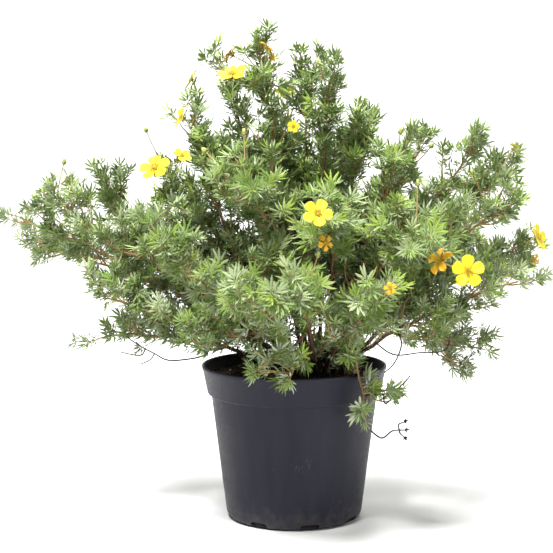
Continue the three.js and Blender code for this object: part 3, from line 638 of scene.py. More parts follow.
# Carpels and receptacle: a hairy greenish-yellow boss.
boss_material = speckled("receptacle", 0.7, "#84802a", "#c4b544", 1500, 0.3 * MM)
# Sepals: soft hairy green tissue, yellower than the leaves.
sepal_material = speckled("sepal", 0.6, "#82964a", "#c6ca78", 500, 0.2 * MM)
# Dried flower heads: brittle, nearly black tissue.
dried_material = speckled("dried_flower_head", 0.85, "#17120f", "#3d3027", 900, 0.5 * MM)
pot_material = moulded_polypropylene()
# Peat and composted bark: matt, dark and crumbly.
peat_material = speckled("peat_potting_mix", 0.95, "#150e0a", "#3a291e", 350, 2 * MM)
# Bark chips and rootlets: fibrous, red-brown.
chip_material = speckled("bark_chip", 0.9, "#2a1a15", "#5c3a2b", 700, 0.8 * MM)
# Perlite: expanded volcanic glass, chalky white.
perlite_material = speckled("perlite", 0.9, "#a8a49c", "#dedad2", 900, 0.6 * MM)


# Meshes


def shown(name, data):
    """A new object in the scene."""
    piece = bpy.data.objects.new(name, data)
    bpy.context.scene.collection.objects.link(piece)
    return piece


def new_object(name, vertices, faces, materials=(), uvs=None):
    """A mesh object from points in metres, faces, and where given a UV for each corner."""
    mesh = bpy.data.meshes.new(name)
    mesh.from_pydata([tuple(v) for v in vertices], [], [tuple(f) for f in faces])
    for material in materials:
        mesh.materials.append(material)
    if uvs is not None:
        mesh.uv_layers.new(name="UVMap").data.foreach_set("uv", np.array(uvs, np.float32).ravel())
    mesh.polygons.foreach_set("use_smooth", [True] * len(mesh.polygons))
    mesh.update()
    return shown(name, mesh)


def shaped(shape, name):
    """A mesh of what was shaped in a bmesh."""
    mesh = bpy.data.meshes.new(name)
    shape.to_mesh(mesh)
    shape.free()
    return mesh


def finished_mesh(piece):
    """The plain mesh that a piece's modifiers make of it."""
    bpy.context.view_layer.update()
    graph = bpy.context.evaluated_depsgraph_get()
    return bpy.data.meshes.new_from_object(piece.evaluated_get(graph), depsgraph=graph)


def ring_faces(rings, sides):
    """The faces of a closed shape whose points are one at its foot, then rings of sides, then one on top."""
    faces = [(0, 1 + (k + 1) % sides, 1 + k) for k in range(sides)]
    for i in range(rings - 1):
        for k in range(sides):
            a, b = 1 + i * sides + k, 1 + i * sides + (k + 1) % sides
            faces.append((a, b, b + sides, a + sides))
    last = 1 + (rings - 1) * sides
    return faces + [(last + k, last + (k + 1) % sides, last + sides) for k in range(sides)]


def shelf(name, shapes):
    """A collection of shapes for a tree to pick from, out of sight."""
    collection = bpy.data.collections.new(name)
    for shape in shapes:
        for owner in list(shape.users_collection):
            owner.objects.unlink(shape)
        collection.objects.link(shape)
    return collection


class Blades:
    """Thin closed leaflets, spikes and stalks, with their UVs, gathered into one mesh."""

    def __init__(self):
        self.vertices, self.faces, self.uvs = [], [], []

    def cover(self, faces, uv_of=None, beyond=0):
        """Adds faces with the UV of each corner, moved across by a distance, or one UV for all."""
        for face in faces:
            self.faces.append(face)
            self.uvs.extend((uv_of[c][0] + beyond, uv_of[c][1]) if uv_of else (0.5, 0.0) for c in face)

    def add(self, root, way, up, length, width, fold=0.25, droop=0.0, thickness=0.00035, widest=(0.4, 0.76)):
        """A leaflet from its root along a way, with its edges folded up and its tip drooping by shares."""
        first = len(self.vertices)
        way = unit(way)
        right = unit(np.cross(way, up))
        up = np.cross(right, way)
        self.vertices.append(root)
        for share, wide in zip(widest, (0.96, 0.8)):
            spine = root + way * (length * share) - up * (droop * length * share**2)
            for side in (-1, 1):
                edge = spine + right * (side * wide * width / 2)
                self.vertices.append(edge + up * (fold * wide * width / 2))
            self.vertices += [spine, spine - up * thickness]
        self.vertices.append(root + way * length - up * (droop * length))
        base, l1, r1, t1, b1, l2, r2, t2, b2, tip = range(first, first + 10)
        v1, v2 = widest
        uv_of = {
            base: (0.5, 0), l1: (0, v1), r1: (1, v1), t1: (0.5, v1), b1: (0.5, v1),
            l2: (0, v2), r2: (1, v2), t2: (0.5, v2), b2: (0.5, v2), tip: (0.5, 1),
        }
        self.cover([(base, r1, t1), (base, t1, l1), (t1, r1, r2, t2)], uv_of)
        self.cover([(l1, t1, t2, l2), (t2, r2, tip), (l2, t2, tip)], uv_of)
        self.cover([(base, b1, r1), (base, l1, b1), (b1, b2, r2, r1)], uv_of, UNDERSIDE)
        self.cover([(l1, l2, b2, b1), (b2, tip, r2), (l2, tip, b2)], uv_of, UNDERSIDE)

    def add_leaflet(self, root, way, up, length, width, fold, stations):
        """A flat-sided leaflet with a ridge along its middle and its edges rolled down, which keeps a share
        of its width at each station along it."""
        first = len(self.vertices)
        way = unit(way)
        right = unit(np.cross(way, up))
        up = np.cross(right, way)
        self.vertices.append(root)
        for side in (-1, 1):
            for share, wide in stations:
                edge = (right * side - up * fold) * (wide * width / 2)
                self.vertices.append(root + way * (length * share) + edge)
        self.vertices.append(root + way * length)
        base, tip = first, len(self.vertices) - 1
        left = [*range(first + 1, first + 1 + len(stations)), tip]
        right = [*range(first + 1 + len(stations), tip), tip]
        uv_of = {base: (0.5, 0), tip: (0.5, 1)}
        for l, r, (share, _) in zip(left, right, stations):
            uv_of[l], uv_of[r] = (0, share), (1, share)
        self.cover([(base, a, b) for a, b in zip(right, right[1:])], uv_of)
        self.cover([(base, b, a) for a, b in zip(left, left[1:])], uv_of)
        self.cover([(base, left[0], right[0]), (left[-2], tip, right[-2])], uv_of, UNDERSIDE)
        between = zip(left, left[1:-1], right, right[1:-1])
        self.cover([(a, b, d, c) for a, b, c, d in between], uv_of, UNDERSIDE)

    def add_ring(self, point, way, radius):
        """Three points round a way."""
        side = side_of(way)
        self.vertices.extend(point + turned(side, way, k * 2 * math.pi / 3) * radius for k in range(3))

    def add_spike(self, root, tip, radius):
        """A three-sided stalk that tapers to a point."""
        a, b, c, top = range(len(self.vertices), len(self.vertices) + 4)
        self.add_ring(root, unit(tip - root), radius)
        self.vertices.append(tip)
        self.cover(((a, c, b), (a, b, top), (b, c, top), (c, a, top)))

    def add_stalk(self, points, radius):
        """A three-sided stalk along a few points, closed at both ends."""
        first = len(self.vertices)
        for i, point in enumerate(points):
            self.add_ring(point, unit(points[min(i + 1, len(points) - 1)] - points[max(i - 1, 0)]), radius)
        faces = [(first, first + 2, first + 1)]
        for i in range(len(points) - 1):
            for k in range(3):
                a, b = first + 3 * i + k, first + 3 * i + (k + 1) % 3
                faces.append((a, b, b + 3, a + 3))
        last = first + 3 * (len(points) - 1)
        self.cover([*faces, (last, last + 1, last + 2)])

    def made(self, name, *materials):
        return new_object(name, self.vertices, self.faces, materials, self.uvs)


# Leaves. Each grows along +X from its foot, with its upper side up, and is drawn at full size.
LEAFLET = 17 * MM
LEAFLET_WIDTH = 2.8 * MM
PETIOLE = 5 * MM
# For each kind of leaf: the leaflets' bearings in degrees, how far each pair stands back from the end of
# the stalk, and the share of full size.
FIVE = ((0, 0, 1), (31, 0.6, 0.93), (-31, 0.6, 0.93), (62, 2.6, 0.78), (-62, 2.6, 0.78))
SEVEN = (*FIVE, (84, 5, 0.6), (-84, 5, 0.6))
THREE = ((0, 0, 1), (46, 0.6, 0.85), (-46, 0.6, 0.85))
YOUNG = ((0, 0, 0.9), (16, 0.6, 0.85), (-16, 0.6, 0.85), (30, 1.5, 0.7), (-30, 1.5, 0.7))
# Leaves along a twig are the plainer kinds. Those of the tuft at its tip follow, and are drawn more finely.
LEAF_KINDS = (FIVE, FIVE, SEVEN, THREE, FIVE, FIVE, SEVEN, YOUNG)
TUFT_KINDS = 4
PLAIN = ((0.48, 1.1),)
FINE = ((0.38, 1), (0.74, 0.84))


def leaf(number, kind):
    """One leaf: a thin stalk, and narrow leaflets that spread from its end like fingers."""
    draw = drawer(900 + number)
    blades = Blades()
    hub = np.array([PETIOLE, 0, 0.6 * MM])
    blades.add_spike(np.zeros(3), hub * 1.2, 0.4 * MM)
    for bearing, back, size in kind:
        bearing = (bearing + 9 * (draw() - 0.5)) * DEGREE
        rise = (30 * draw() - 4) * DEGREE
        root = hub - np.array([back * MM, 0, 0.1 * MM])
        way = heading(bearing, rise)
        tilt = UP + np.array([0, 0.8 * (draw() - 0.5), 0])
        length = LEAFLET * size * (0.88 + 0.2 * draw())
        width = LEAFLET_WIDTH * (0.82 + 0.28 * draw())
        stations = PLAIN if number < TUFT_KINDS else FINE
        blades.add_leaflet(root, way, tilt, length, width, 0.3 + 0.4 * draw(), stations)
    shape = blades.made(f"leaf_{number}", leaf_material)
    shape.data.polygons.foreach_set("use_smooth", [False] * len(shape.data.polygons))
    return shape


leaf_shapes = shelf("leaf_shapes", [leaf(i, kind) for i, kind in enumerate(LEAF_KINDS)])


def calyx():
    """Five broad sepals and five narrow bracts between them, under a bloom of radius 1 metre."""
    blades = Blades()
    for k in range(PETALS):
        for turn, length, width, rise in ((0, 0.62, 0.26, 0.18), (0.5, 0.5, 0.12, 0.05)):
            way = heading((k - 0.5 + turn) * PETAL_TURN, rise)
            blades.add(np.zeros(3), way, UP, length, width, 0.15, 0.1, 0.03, (0.45, 0.8))
    for k in range(6):
        way = heading(k * math.pi / 3, -0.4)
        blades.add(np.array([0, 0, 0.06]), way, UP, 0.2, 0.2, 0.3, 0.5, 0.08)
    return blades.made("end_0_calyx", sepal_material)


def bud():
    """A closed bud: five pointed sepals wrapped round a knob."""
    blades = Blades()
    radius, length = 2.6 * MM, 7 * MM
    for k in range(PETALS):
        out = heading(k * PETAL_TURN, 0)
        way = heading(k * PETAL_TURN, 1.05)
        blades.add(out * (0.15 * radius), way, out, length, 1.5 * radius, -0.5, 0.42, 0.001)
        side = heading((k + 0.5) * PETAL_TURN, 0)
        way = heading((k + 0.5) * PETAL_TURN, 0.75)
        blades.add(side * (0.1 * radius), way, side, 0.75 * length, radius, 0.1, 0.3)
    return blades.made("end_1_bud", sepal_material)


def dried_head():
    """A dried flower head: a small dark knot of shrivelled sepals."""
    blades = Blades()
    draw = drawer(77)
    for k in range(9):
        bearing = k * GOLDEN_TURN
        out = heading(bearing, 0)
        way = heading(bearing, 0.2 + 1.1 * draw())
        blades.add(out * 0.0003, way, out, (2.6 + 2.6 * draw()) * MM, 1.9 * MM, -0.4, 0.5 * draw(), 0.0008)
    return blades.made("end_2_head", dried_material)


end_shapes = shelf("end_shapes", [calyx(), bud(), dried_head()])
CALYX, BUD, HEAD = range(3)


# Growth: twigs, leaves and bark along the paths

LEAFY_FROM, LEAFY_BY = 28, 64  # distance from the crown in mm over which leaves set in
CROWN_HEART = CROWN + np.array([0, 0, 22])
# A gap in the leaves low at the front: its middle, its half width and height, how far back it goes, the
# share of twigs it takes, and the nearest and furthest from its middle that a leaf is taken.
OPENING = np.array([22.0, 0.0, 200.0])
OPENING_WIDTH, OPENING_HEIGHT, OPENING_BACK = 22, 25, 60
OPENING_SHARE = 0.95
OPENING_LEAVES = 4 * MM, 22 * MM
# What twigs and leaves keep clear of: the pot's wall, its mouth and rim, the soil, and the blooms.
POT_CLEAR = 3
POT_REACH = 98 * MM
POT_MOUTH = 86 * MM
SOIL_CLEAR = 4
TWIG_TO_BLOOM, LEAF_TO_BLOOM = 5 * MM, 3 * MM
LEAF_REACH = 18 * MM
TIP_TRIM = 27  # how far the paths stop short of the solids' tips, which leaves room for the last leaves
VIGOROUS = 85  # the length of a path from which its twigs grow to full length
HANGING_VIGOUR, HANGING_LEAVES = 0.3, 0.8  # shares on forks that hang down
BARK_SPREAD = 120  # distance from the crown in mm within which bark is old, however thin the wood
TWIG_GIRTH, TWIGLET_GIRTH, TWIG_TIP_GIRTH = 1.0 * MM, 0.68 * MM, 0.45 * MM
TWIG_SPLAY, LEAF_SPLAY = (0.45, 1.25), (0.45, 1.3)  # angles from the parent in radians
CROOKED = 9 * MM  # how far noise bends a twig
# What the trees keep on the paths and what grows on them. "kind" is -1 on a path.
ATTRIBUTES = {
    "girth": "FLOAT", "leafy": "FLOAT", "vigour": "FLOAT", "age": "FLOAT", "kind": "INT",
    "turn": "QUATERNION", "size": "FLOAT", "reach": "FLOAT", "way": "FLOAT_VECTOR", "filled": "FLOAT",
    "splay": "FLOAT", "first_kind": "INT", "youth": "FLOAT", "silver": "FLOAT", "old": "FLOAT",
}


def new_tree(name, inputs, output=("Geometry", "Geometry")):
    """A geometry tree with named inputs and one output, and the sockets of what it is given."""
    tree = bpy.data.node_groups.new(name, "GeometryNodeTree")
    for label, kind in inputs.items():
        tree.interface.new_socket(label, in_out="INPUT", socket_type=f"NodeSocket{kind}")
    tree.interface.new_socket(output[0], in_out="OUTPUT", socket_type=f"NodeSocket{output[1]}")
    return tree, tree.nodes.new("NodeGroupInput").outputs


def grown(piece, tree, values, name):
    """A plain mesh object of what a tree makes of a piece, which is then removed."""
    growth = piece.modifiers.new("growth", "NODES")
    growth.node_group = tree
    for item in tree.interface.items_tree:
        if item.item_type == "SOCKET" and item.in_out == "INPUT" and item.name in values:
            growth[item.identifier] = values[item.name]
    mesh = finished_mesh(piece)
    mesh.name = name
    bpy.data.objects.remove(piece)
    return shown(name, mesh)


def keep(tree, geometry, domain="POINT", **values):
    """Keeps values on geometry under their names, for later steps and for the materials."""
    for name, value in values.items():
        inputs = {"Geometry": geometry, "Name": name, "Value": value}
        settings = {"data_type": ATTRIBUTES[name], "domain": domain}
        geometry = add_node(tree, "GeometryNodeStoreNamedAttribute", inputs, **settings)
    return geometry


def stand_on(tree, points, shapes, pick, rotation, scale):
    """Stands shapes of a collection on points, each the one that its number picks."""
    shapes = add_node(tree, "GeometryNodeCollectionInfo", {"Collection": shapes, 1: True, 2: True})
    inputs = {"Points": points, "Instance": shapes, "Pick Instance": True, "Instance Index": pick}
    inputs |= {"Rotation": rotation, "Scale": scale}
    return add_node(tree, "GeometryNodeInstanceOnPoints", inputs)


def clearance_tree():
    """Tells which twigs or leaves would end inside the pot or the soil, or cut through a bloom."""
    inputs = {"Rotation": "Rotation", "Length": "Float", "Blooms": "Geometry", "Bloom gap": "Float"}
    tree, given = new_tree("clearance", inputs, ("Blocked", "Bool"))
    root = add_node(tree, "GeometryNodeInputPosition")
    reach = add_node(tree, "ShaderNodeCombineXYZ", {0: given["Length"]})
    reach = add_node(tree, "FunctionNodeRotateVector", {0: reach, 1: given["Rotation"]})
    tip = add_node(tree, "ShaderNodeVectorMath", {0: root, 1: reach}, operation="ADD")
    halfway = {1: (0.5, 0.5, 0.5), 4: root, 5: tip}
    middle = add_node(tree, "ShaderNodeMix", halfway, data_type="VECTOR", factor_mode="NON_UNIFORM")
    x, y, height = add_node(tree, "ShaderNodeSeparateXYZ", {0: tip}).outputs
    flat = add_node(tree, "ShaderNodeCombineXYZ", {0: x, 1: y})
    out = add_node(tree, "ShaderNodeVectorMath", {0: flat}, operation="LENGTH").outputs["Value"]
    foot, top = (WALL_FOOT_RADIUS + POT_CLEAR) * MM, (WALL_TOP_RADIUS + POT_CLEAR) * MM
    wall = add_node(tree, "ShaderNodeMapRange", {0: height, 2: BAND_FOOT * MM, 3: foot, 4: top})
    band = (BAND_FOOT - 2 * STEP_HEIGHT) * MM
    at_band = add_node(tree, "FunctionNodeCompare", {0: height, 1: band}, operation="GREATER_THAN")
    reaches = {"Switch": at_band, "False": wall, "True": POT_REACH}
    wall = add_node(tree, "GeometryNodeSwitch", reaches, input_type="FLOAT")
    near, low, inside, buried = (
        add_node(tree, "FunctionNodeCompare", {0: value, 1: limit}, operation="LESS_THAN")
        for value, limit in (
            (out, wall),
            (height, (POT_HEIGHT + POT_CLEAR) * MM),
            (out, POT_MOUTH),
            (height, (SOIL_TOP + SOIL_CLEAR) * MM),
        )
    )
    over_soil = add_node(tree, "FunctionNodeBooleanMath", {0: inside, 1: buried}, operation="NIMPLY")
    blocked = add_node(tree, "FunctionNodeBooleanMath", {0: near, 1: low}, operation="AND")
    blocked = add_node(tree, "FunctionNodeBooleanMath", {0: blocked, 1: over_soil}, operation="NIMPLY")
    for spot in (root, middle.outputs[1], tip):
        inputs = {"Geometry": given["Blooms"], "Sample Position": spot}
        gap = add_node(tree, "GeometryNodeProximity", inputs).outputs["Distance"]
        inputs = {0: gap, 1: given["Bloom gap"]}
        close = add_node(tree, "FunctionNodeCompare", inputs, operation="LESS_THAN")
        blocked = add_node(tree, "FunctionNodeBooleanMath", {0: blocked, 1: close}, operation="OR")
    add_node(tree, "NodeGroupOutput", {"Blocked": blocked})
    return tree


def growth_tree():
    """Twigs along every path, leaves along every twig and in a tuft at its tip, bark round them all,
    and a calyx, bud or dried head at each flower stalk's end."""
    inputs = {
        "Geometry": "Geometry", "Twig spacing": "Float", "Twig length": "Float", "Twiglet spacing": "Float",
        "Twiglet length": "Float", "Leaf spacing": "Float", "Leaf size": "Float", "Tuft leaves": "Int",
        "Leaf shapes": "Collection", "End shapes": "Collection", "Blooms": "Object", "Bark": "Material",
        "Leaf": "Material", "Seed": "Int",
    }
    tree, given = new_tree("cinquefoil_growth", inputs)
    clearance = clearance_tree()
    blooms_near = add_node(tree, "GeometryNodeObjectInfo", {"Object": given["Blooms"]}).outputs["Geometry"]
    own = {
        name: add_node(tree, "GeometryNodeInputNamedAttribute", {"Name": name}, data_type=kind).outputs[0]
        for name, kind in ATTRIBUTES.items()
    }
    index, place_on, tangent, factor = (
        add_node(tree, f"GeometryNode{kind}")
        for kind in ("InputIndex", "InputPosition", "InputTangent", "SplineParameter")
    )
    x, y, height = add_node(tree, "ShaderNodeSeparateXYZ", {0: place_on}).outputs
    is_path = add_node(
        tree, "FunctionNodeCompare", {2: own["kind"], 3: 0}, data_type="INT", operation="LESS_THAN"
    )
    split = add_node(tree, "GeometryNodeSeparateGeometry", {0: given["Geometry"], 1: is_path})

    def chance(low, high, seed):
        """A random value for each twig or leaf, by a seed of its own."""
        seeds = add_node(tree, "ShaderNodeMath", {0: given["Seed"], 1: seed}, operation="ADD")
        return add_node(tree, "FunctionNodeRandomValue", {2: low, 3: high, 8: seeds}).outputs[1]

    def standing(splay, turn_seed):
        """A rotation that stands a shape round a path by the golden angle, splayed from the path's way."""
        upright = add_node(tree, "FunctionNodeAlignRotationToVector", {"Vector": own["way"]}, axis="Z")
        golden = add_node(tree, "ShaderNodeMath", {0: index, 1: GOLDEN_TURN}, operation="MULTIPLY")
        uneven = chance(-0.5, 0.5, turn_seed)
        golden = add_node(tree, "ShaderNodeMath", {0: golden, 1: uneven}, operation="ADD")
        tilt = add_node(tree, "ShaderNodeMath", {0: splay, 1: math.pi / 2}, operation="SUBTRACT")
        euler = add_node(tree, "ShaderNodeCombineXYZ", {1: tilt, 2: golden})
        euler = add_node(tree, "FunctionNodeEulerToRotation", {0: euler})
        return add_node(tree, "FunctionNodeRotateRotation", {0: upright, 1: euler}, rotation_space="LOCAL")

    def without(points, length, gap):
        """Points less those whose twig or leaf would be in the way."""
        inputs = {"Rotation": own["turn"], "Length": length, "Blooms": blooms_near, "Bloom gap": gap}
        blocked = add_node(tree, "GeometryNodeGroup", inputs, node_tree=clearance)
        return add_node(tree, "GeometryNodeDeleteGeometry", {0: points, 1: blocked})

    # Paths as smooth curves.
    curves = add_node(tree, "GeometryNodeMeshToCurve", {0: split})
    curves = add_node(tree, "GeometryNodeCurveSplineType", {0: curves}, spline_type="CATMULL_ROM")
    curves = add_node(tree, "GeometryNodeSetSplineResolution", {0: curves, "Resolution": 5})
    curves = add_node(tree, "GeometryNodeResampleCurve", {0: curves}, mode="EVALUATED")
    curves = keep(tree, curves, reach=factor, way=tangent)

    def sprouts(parents, spacing, length, girth, seed):
        """Twigs along curves, shorter towards each curve's tip, that turn up at their own tips."""
        bends = {"Resolution": 4, "Start": (0, 0, 0), "Middle": (0.5, 0, 0.02), "End": (0.92, 0.03, 0.3)}
        twig = add_node(tree, "GeometryNodeCurveQuadraticBezier", bends)
        # Few leaves stand near a twig's foot. Its bark gets younger and it gets thinner on the way out.
        filled = add_node(tree, "ShaderNodeMapRange", {0: factor, 1: 0.15, 2: 0.75, 3: 0.12, 4: 1.0})
        age, thickness = (
            add_node(tree, "ShaderNodeMath", {0: factor, 1: change, 2: start}, operation="MULTIPLY_ADD")
            for change, start in ((-0.16, 0.16), (TWIG_TIP_GIRTH - girth, girth))
        )
        twig = keep(tree, twig, reach=factor, leafy=1.0, filled=filled, age=age, girth=thickness)
        spots = add_node(
            tree, "GeometryNodeCurveToPoints", {"Curve": parents, "Length": spacing}, mode="LENGTH"
        )
        inputs = {0: chance(0, 1.2, seed), 1: own["leafy"]}
        bare = add_node(tree, "ShaderNodeMath", inputs, operation="GREATER_THAN")
        spots = add_node(tree, "GeometryNodeDeleteGeometry", {0: spots, 1: bare})
        rotation = standing(chance(*TWIG_SPLAY, seed + 1), seed + 2)
        inputs = {"Rotation": rotation, "Factor": 0.2, "Vector": (0, 0, 1)}
        rotation = add_node(tree, "FunctionNodeAlignRotationToVector", inputs, axis="X")
        size = add_node(
            tree, "ShaderNodeMath", {0: own["reach"], 1: -0.62, 2: 1.02}, operation="MULTIPLY_ADD"
        )
        for share in (own["vigour"], chance(0.5, 1.25, seed + 3), length):
            size = add_node(tree, "ShaderNodeMath", {0: share, 1: size}, operation="MULTIPLY")
        spots = keep(tree, spots, turn=rotation, size=size)
        spots = without(spots, own["size"], TWIG_TO_BLOOM)
        twigs = {"Points": spots, "Instance": twig, "Rotation": own["turn"], "Scale": own["size"]}
        twigs = add_node(tree, "GeometryNodeInstanceOnPoints", twigs)
        twigs = add_node(tree, "GeometryNodeRealizeInstances", {0: twigs})
        return keep(tree, twigs, way=tangent)

    # Twigs on the paths, and finer ones on those.
    twigs = sprouts(curves, given["Twig spacing"], given["Twig length"], TWIG_GIRTH, 10)
    twiglets = sprouts(twigs, given["Twiglet spacing"], given["Twiglet length"], TWIGLET_GIRTH, 20)
    # The paths' own leaves stand on their outer half.
    filled = add_node(tree, "ShaderNodeMapRange", {0: own["reach"], 1: 0.5, 2: 1.0, 3: 0.15, 4: 0.65})
    curves = keep(tree, curves, filled=filled)
    wood = add_node(tree, "GeometryNodeJoinGeometry", {0: [curves, twigs, twiglets]})

    # Wood, with a slight crookedness that grows along each twig.
    bend = add_node(tree, "ShaderNodeTexNoise", {"Scale": 34, "Detail": 2}).outputs["Color"]
    bend = add_node(tree, "ShaderNodeVectorMath", {0: bend, 1: (0.5, 0.5, 0.5)}, operation="SUBTRACT")
    far = add_node(tree, "ShaderNodeMath", {0: own["leafy"], 1: CROOKED}, operation="MULTIPLY")
    bend = add_node(tree, "ShaderNodeVectorMath", {0: bend, "Scale": far}, operation="SCALE")
    wood = add_node(tree, "GeometryNodeSetPosition", {0: wood, "Offset": bend})
    ring = add_node(
        tree, "GeometryNodeCurvePrimitiveCircle", {"Resolution": 4, "Radius": 1.05}, mode="RADIUS"
    )
    inputs = {"Curve": wood, "Profile Curve": ring, "Scale": own["girth"], "Fill Caps": True}
    bark = add_node(tree, "GeometryNodeCurveToMesh", inputs)
    bark = add_node(tree, "GeometryNodeSetShadeSmooth", {0: bark})
    bark = add_node(tree, "GeometryNodeSetMaterial", {0: bark, "Material": given["Bark"]})

    # Leaf places along the twigs, up to two at a node, and in tufts at their tips.
    nodes = add_node(
        tree, "GeometryNodeCurveToPoints", {"Curve": wood, "Length": given["Leaf spacing"]}, mode="LENGTH"
    )
    inputs = {4: 0, 5: 2, 8: given["Seed"]}
    count = add_node(tree, "FunctionNodeRandomValue", inputs, data_type="INT").outputs[2]
    beside = add_node(tree, "GeometryNodeDuplicateElements", {0: nodes, "Amount": count}, domain="POINT")
    beside = keep(tree, beside, splay=chance(*LEAF_SPLAY, 4), first_kind=0)
    ends = add_node(tree, "GeometryNodeCurveToPoints", {"Curve": wood, "Count": 2}, mode="COUNT")
    at_root = add_node(tree, "ShaderNodeMath", {0: own["reach"], 1: 0.5}, operation="LESS_THAN")
    ends = add_node(tree, "GeometryNodeDeleteGeometry", {0: ends, 1: at_root})
    count = given["Tuft leaves"]
    tufts = add_node(tree, "GeometryNodeDuplicateElements", {0: ends, "Amount": count}, domain="POINT")
    number = tufts.outputs["Duplicate Index"]
    opened = add_node(tree, "ShaderNodeMath", {0: number, 1: 0.22, 2: 0.2}, operation="MULTIPLY_ADD")
    tufts = keep(tree, tufts, splay=opened, first_kind=TUFT_KINDS)
    spots = add_node(tree, "GeometryNodeJoinGeometry", {0: [beside, tufts]})

    # Some places stay empty: on bare wood, and in the opening at the front.
    filled = add_node(tree, "ShaderNodeMath", {0: own["filled"], 1: own["leafy"]}, operation="MULTIPLY")
    bare = add_node(tree, "ShaderNodeMath", {0: chance(0, 1, 5), 1: filled}, operation="GREATER_THAN")
    spots = add_node(tree, "GeometryNodeDeleteGeometry", {0: spots, 1: bare})
    seen = add_node(tree, "ShaderNodeCombineXYZ", {0: x, 1: OPENING[1] * MM, 2: height})
    middle = tuple(OPENING * MM)
    aside = add_node(tree, "ShaderNodeVectorMath", {0: seen, 1: middle}, operation="DISTANCE")
    inputs = {0: aside.outputs["Value"], 1: chance(*OPENING_LEAVES, 13)}
    close = add_node(tree, "ShaderNodeMath", inputs, operation="LESS_THAN")
    ahead = add_node(tree, "ShaderNodeMath", {0: y, 1: OPENING_BACK * MM}, operation="LESS_THAN")
    in_gap = add_node(tree, "ShaderNodeMath", {0: close, 1: ahead}, operation="MULTIPLY")
    spots = add_node(tree, "GeometryNodeDeleteGeometry", {0: spots, 1: in_gap})

    # Leaves turn outwards from the crown, and grow larger along a twig.
    crown = tuple(CROWN * MM)
    outward = add_node(tree, "ShaderNodeVectorMath", {0: place_on, 1: crown}, operation="SUBTRACT")
    rotation = standing(own["splay"], 6)
    inputs = {"Rotation": rotation, "Factor": chance(0.1, 0.75, 11), "Vector": outward}
    rotation = add_node(tree, "FunctionNodeAlignRotationToVector", inputs, axis="Z")
    size = add_node(tree, "ShaderNodeMath", {0: own["reach"], 1: 0.3, 2: 0.8}, operation="MULTIPLY_ADD")
    for share in (chance(0.6, 1.15, 7), given["Leaf size"]):
        size = add_node(tree, "ShaderNodeMath", {0: share, 1: size}, operation="MULTIPLY")
    spots = keep(tree, spots, turn=rotation, size=size)
    spots = without(spots, LEAF_REACH, LEAF_TO_BLOOM)

    # The youngest leaves are at the tips. The silvery ones are mostly low down, which also paints light on
    # the low leaves. The old ones further in are darker, which also paints the shade inside the bush.
    young, tender, silver, low, inner = (
        add_node(tree, "ShaderNodeMapRange", {0: value, 1: first, 2: last, 3: start, 4: end})
        for value, first, last, start, end in (
            (own["reach"], 0.55, 1.0, 0.1, 1.0),
            (own["splay"], 0.2, 1.0, 1.0, 0.35),
            (chance(0, 1, 9), 0.35, 1.0, 0.0, 1.0),
            (height, 0.2, 0.38, 1.0, 0.4),
            (own["reach"], 0.1, 0.9, 1.0, 0.42),
        )
    )
    young = add_node(tree, "ShaderNodeMath", {0: young, 1: tender}, operation="MULTIPLY")
    youth, silver, old = (
        add_node(tree, "ShaderNodeMath", {0: one, 1: other}, operation="MULTIPLY")
        for one, other in ((young, chance(-0.15, 0.65, 8)), (silver, low), (inner, chance(0.1, 1, 12)))
    )
    inputs = {4: 0, 5: TUFT_KINDS - 1, 8: given["Seed"]}
    pick = add_node(tree, "FunctionNodeRandomValue", inputs, data_type="INT").outputs[2]
    pick = add_node(tree, "ShaderNodeMath", {0: pick, 1: own["first_kind"]}, operation="ADD")
    leaves = stand_on(tree, spots, given["Leaf shapes"], pick, own["turn"], own["size"])
    leaves = keep(tree, leaves, "INSTANCE", youth=youth, silver=silver, old=old)
    leaves = add_node(tree, "GeometryNodeRealizeInstances", {0: leaves})
    leaves = add_node(tree, "GeometryNodeSetMaterial", {0: leaves, "Material": given["Leaf"]})

    # Calyces, buds and dried heads, which bring their own materials.
    ends = split.outputs["Inverted"]
    heads = stand_on(tree, ends, given["End shapes"], own["kind"], own["turn"], own["size"])
    heads = add_node(tree, "GeometryNodeRealizeInstances", {0: heads})
    whole = add_node(tree, "GeometryNodeJoinGeometry", {0: [bark, leaves, heads]})
    add_node(tree, "NodeGroupOutput", {0: whole})
    return tree


def leafiness(path, point):
    """The share of leaf places that are filled at a point of a path."""
    if path["kind"] in ("wiry", "stalk"):
        return 0.0
    out = np.linalg.norm(point - CROWN_HEART)
    share = np.clip((out - LEAFY_FROM) / (LEAFY_BY - LEAFY_FROM), 0, 1)
    x, y, z = point - OPENING
    opened = math.exp(-((x / OPENING_WIDTH) ** 2) - (z / OPENING_HEIGHT) ** 2) if y < OPENING_BACK else 0
    return float(share * (1 - OPENING_SHARE * opened))


def quaternion_to(way, across=None):
    """The turn that takes +Z to a way, and +X to as near a given vector as it can."""
    z = unit(way)
    x = side_of(z) if across is None else unit(across - z * (across @ z))
    return Matrix(np.array([x, np.cross(z, x), z]).T.tolist()).to_quaternion()


# What ends each stalk, with its turn and size.
stalk_ends = [
    (bloom["stalk"], CALYX, quaternion_to(bloom["facing"], bloom["across"]), bloom["radius"] * MM)
    for bloom in blooms
]
stalk_ends += [(stalk, BUD, quaternion_to(along(stalk, 1)[1]), 1) for stalk in buds]
stalk_ends += [
    (path, HEAD, quaternion_to(along(path, 1)[1]), 1)
    for (_, dried, _), path in zip(WIRY_TWIGS, wiry)
    if dried
]


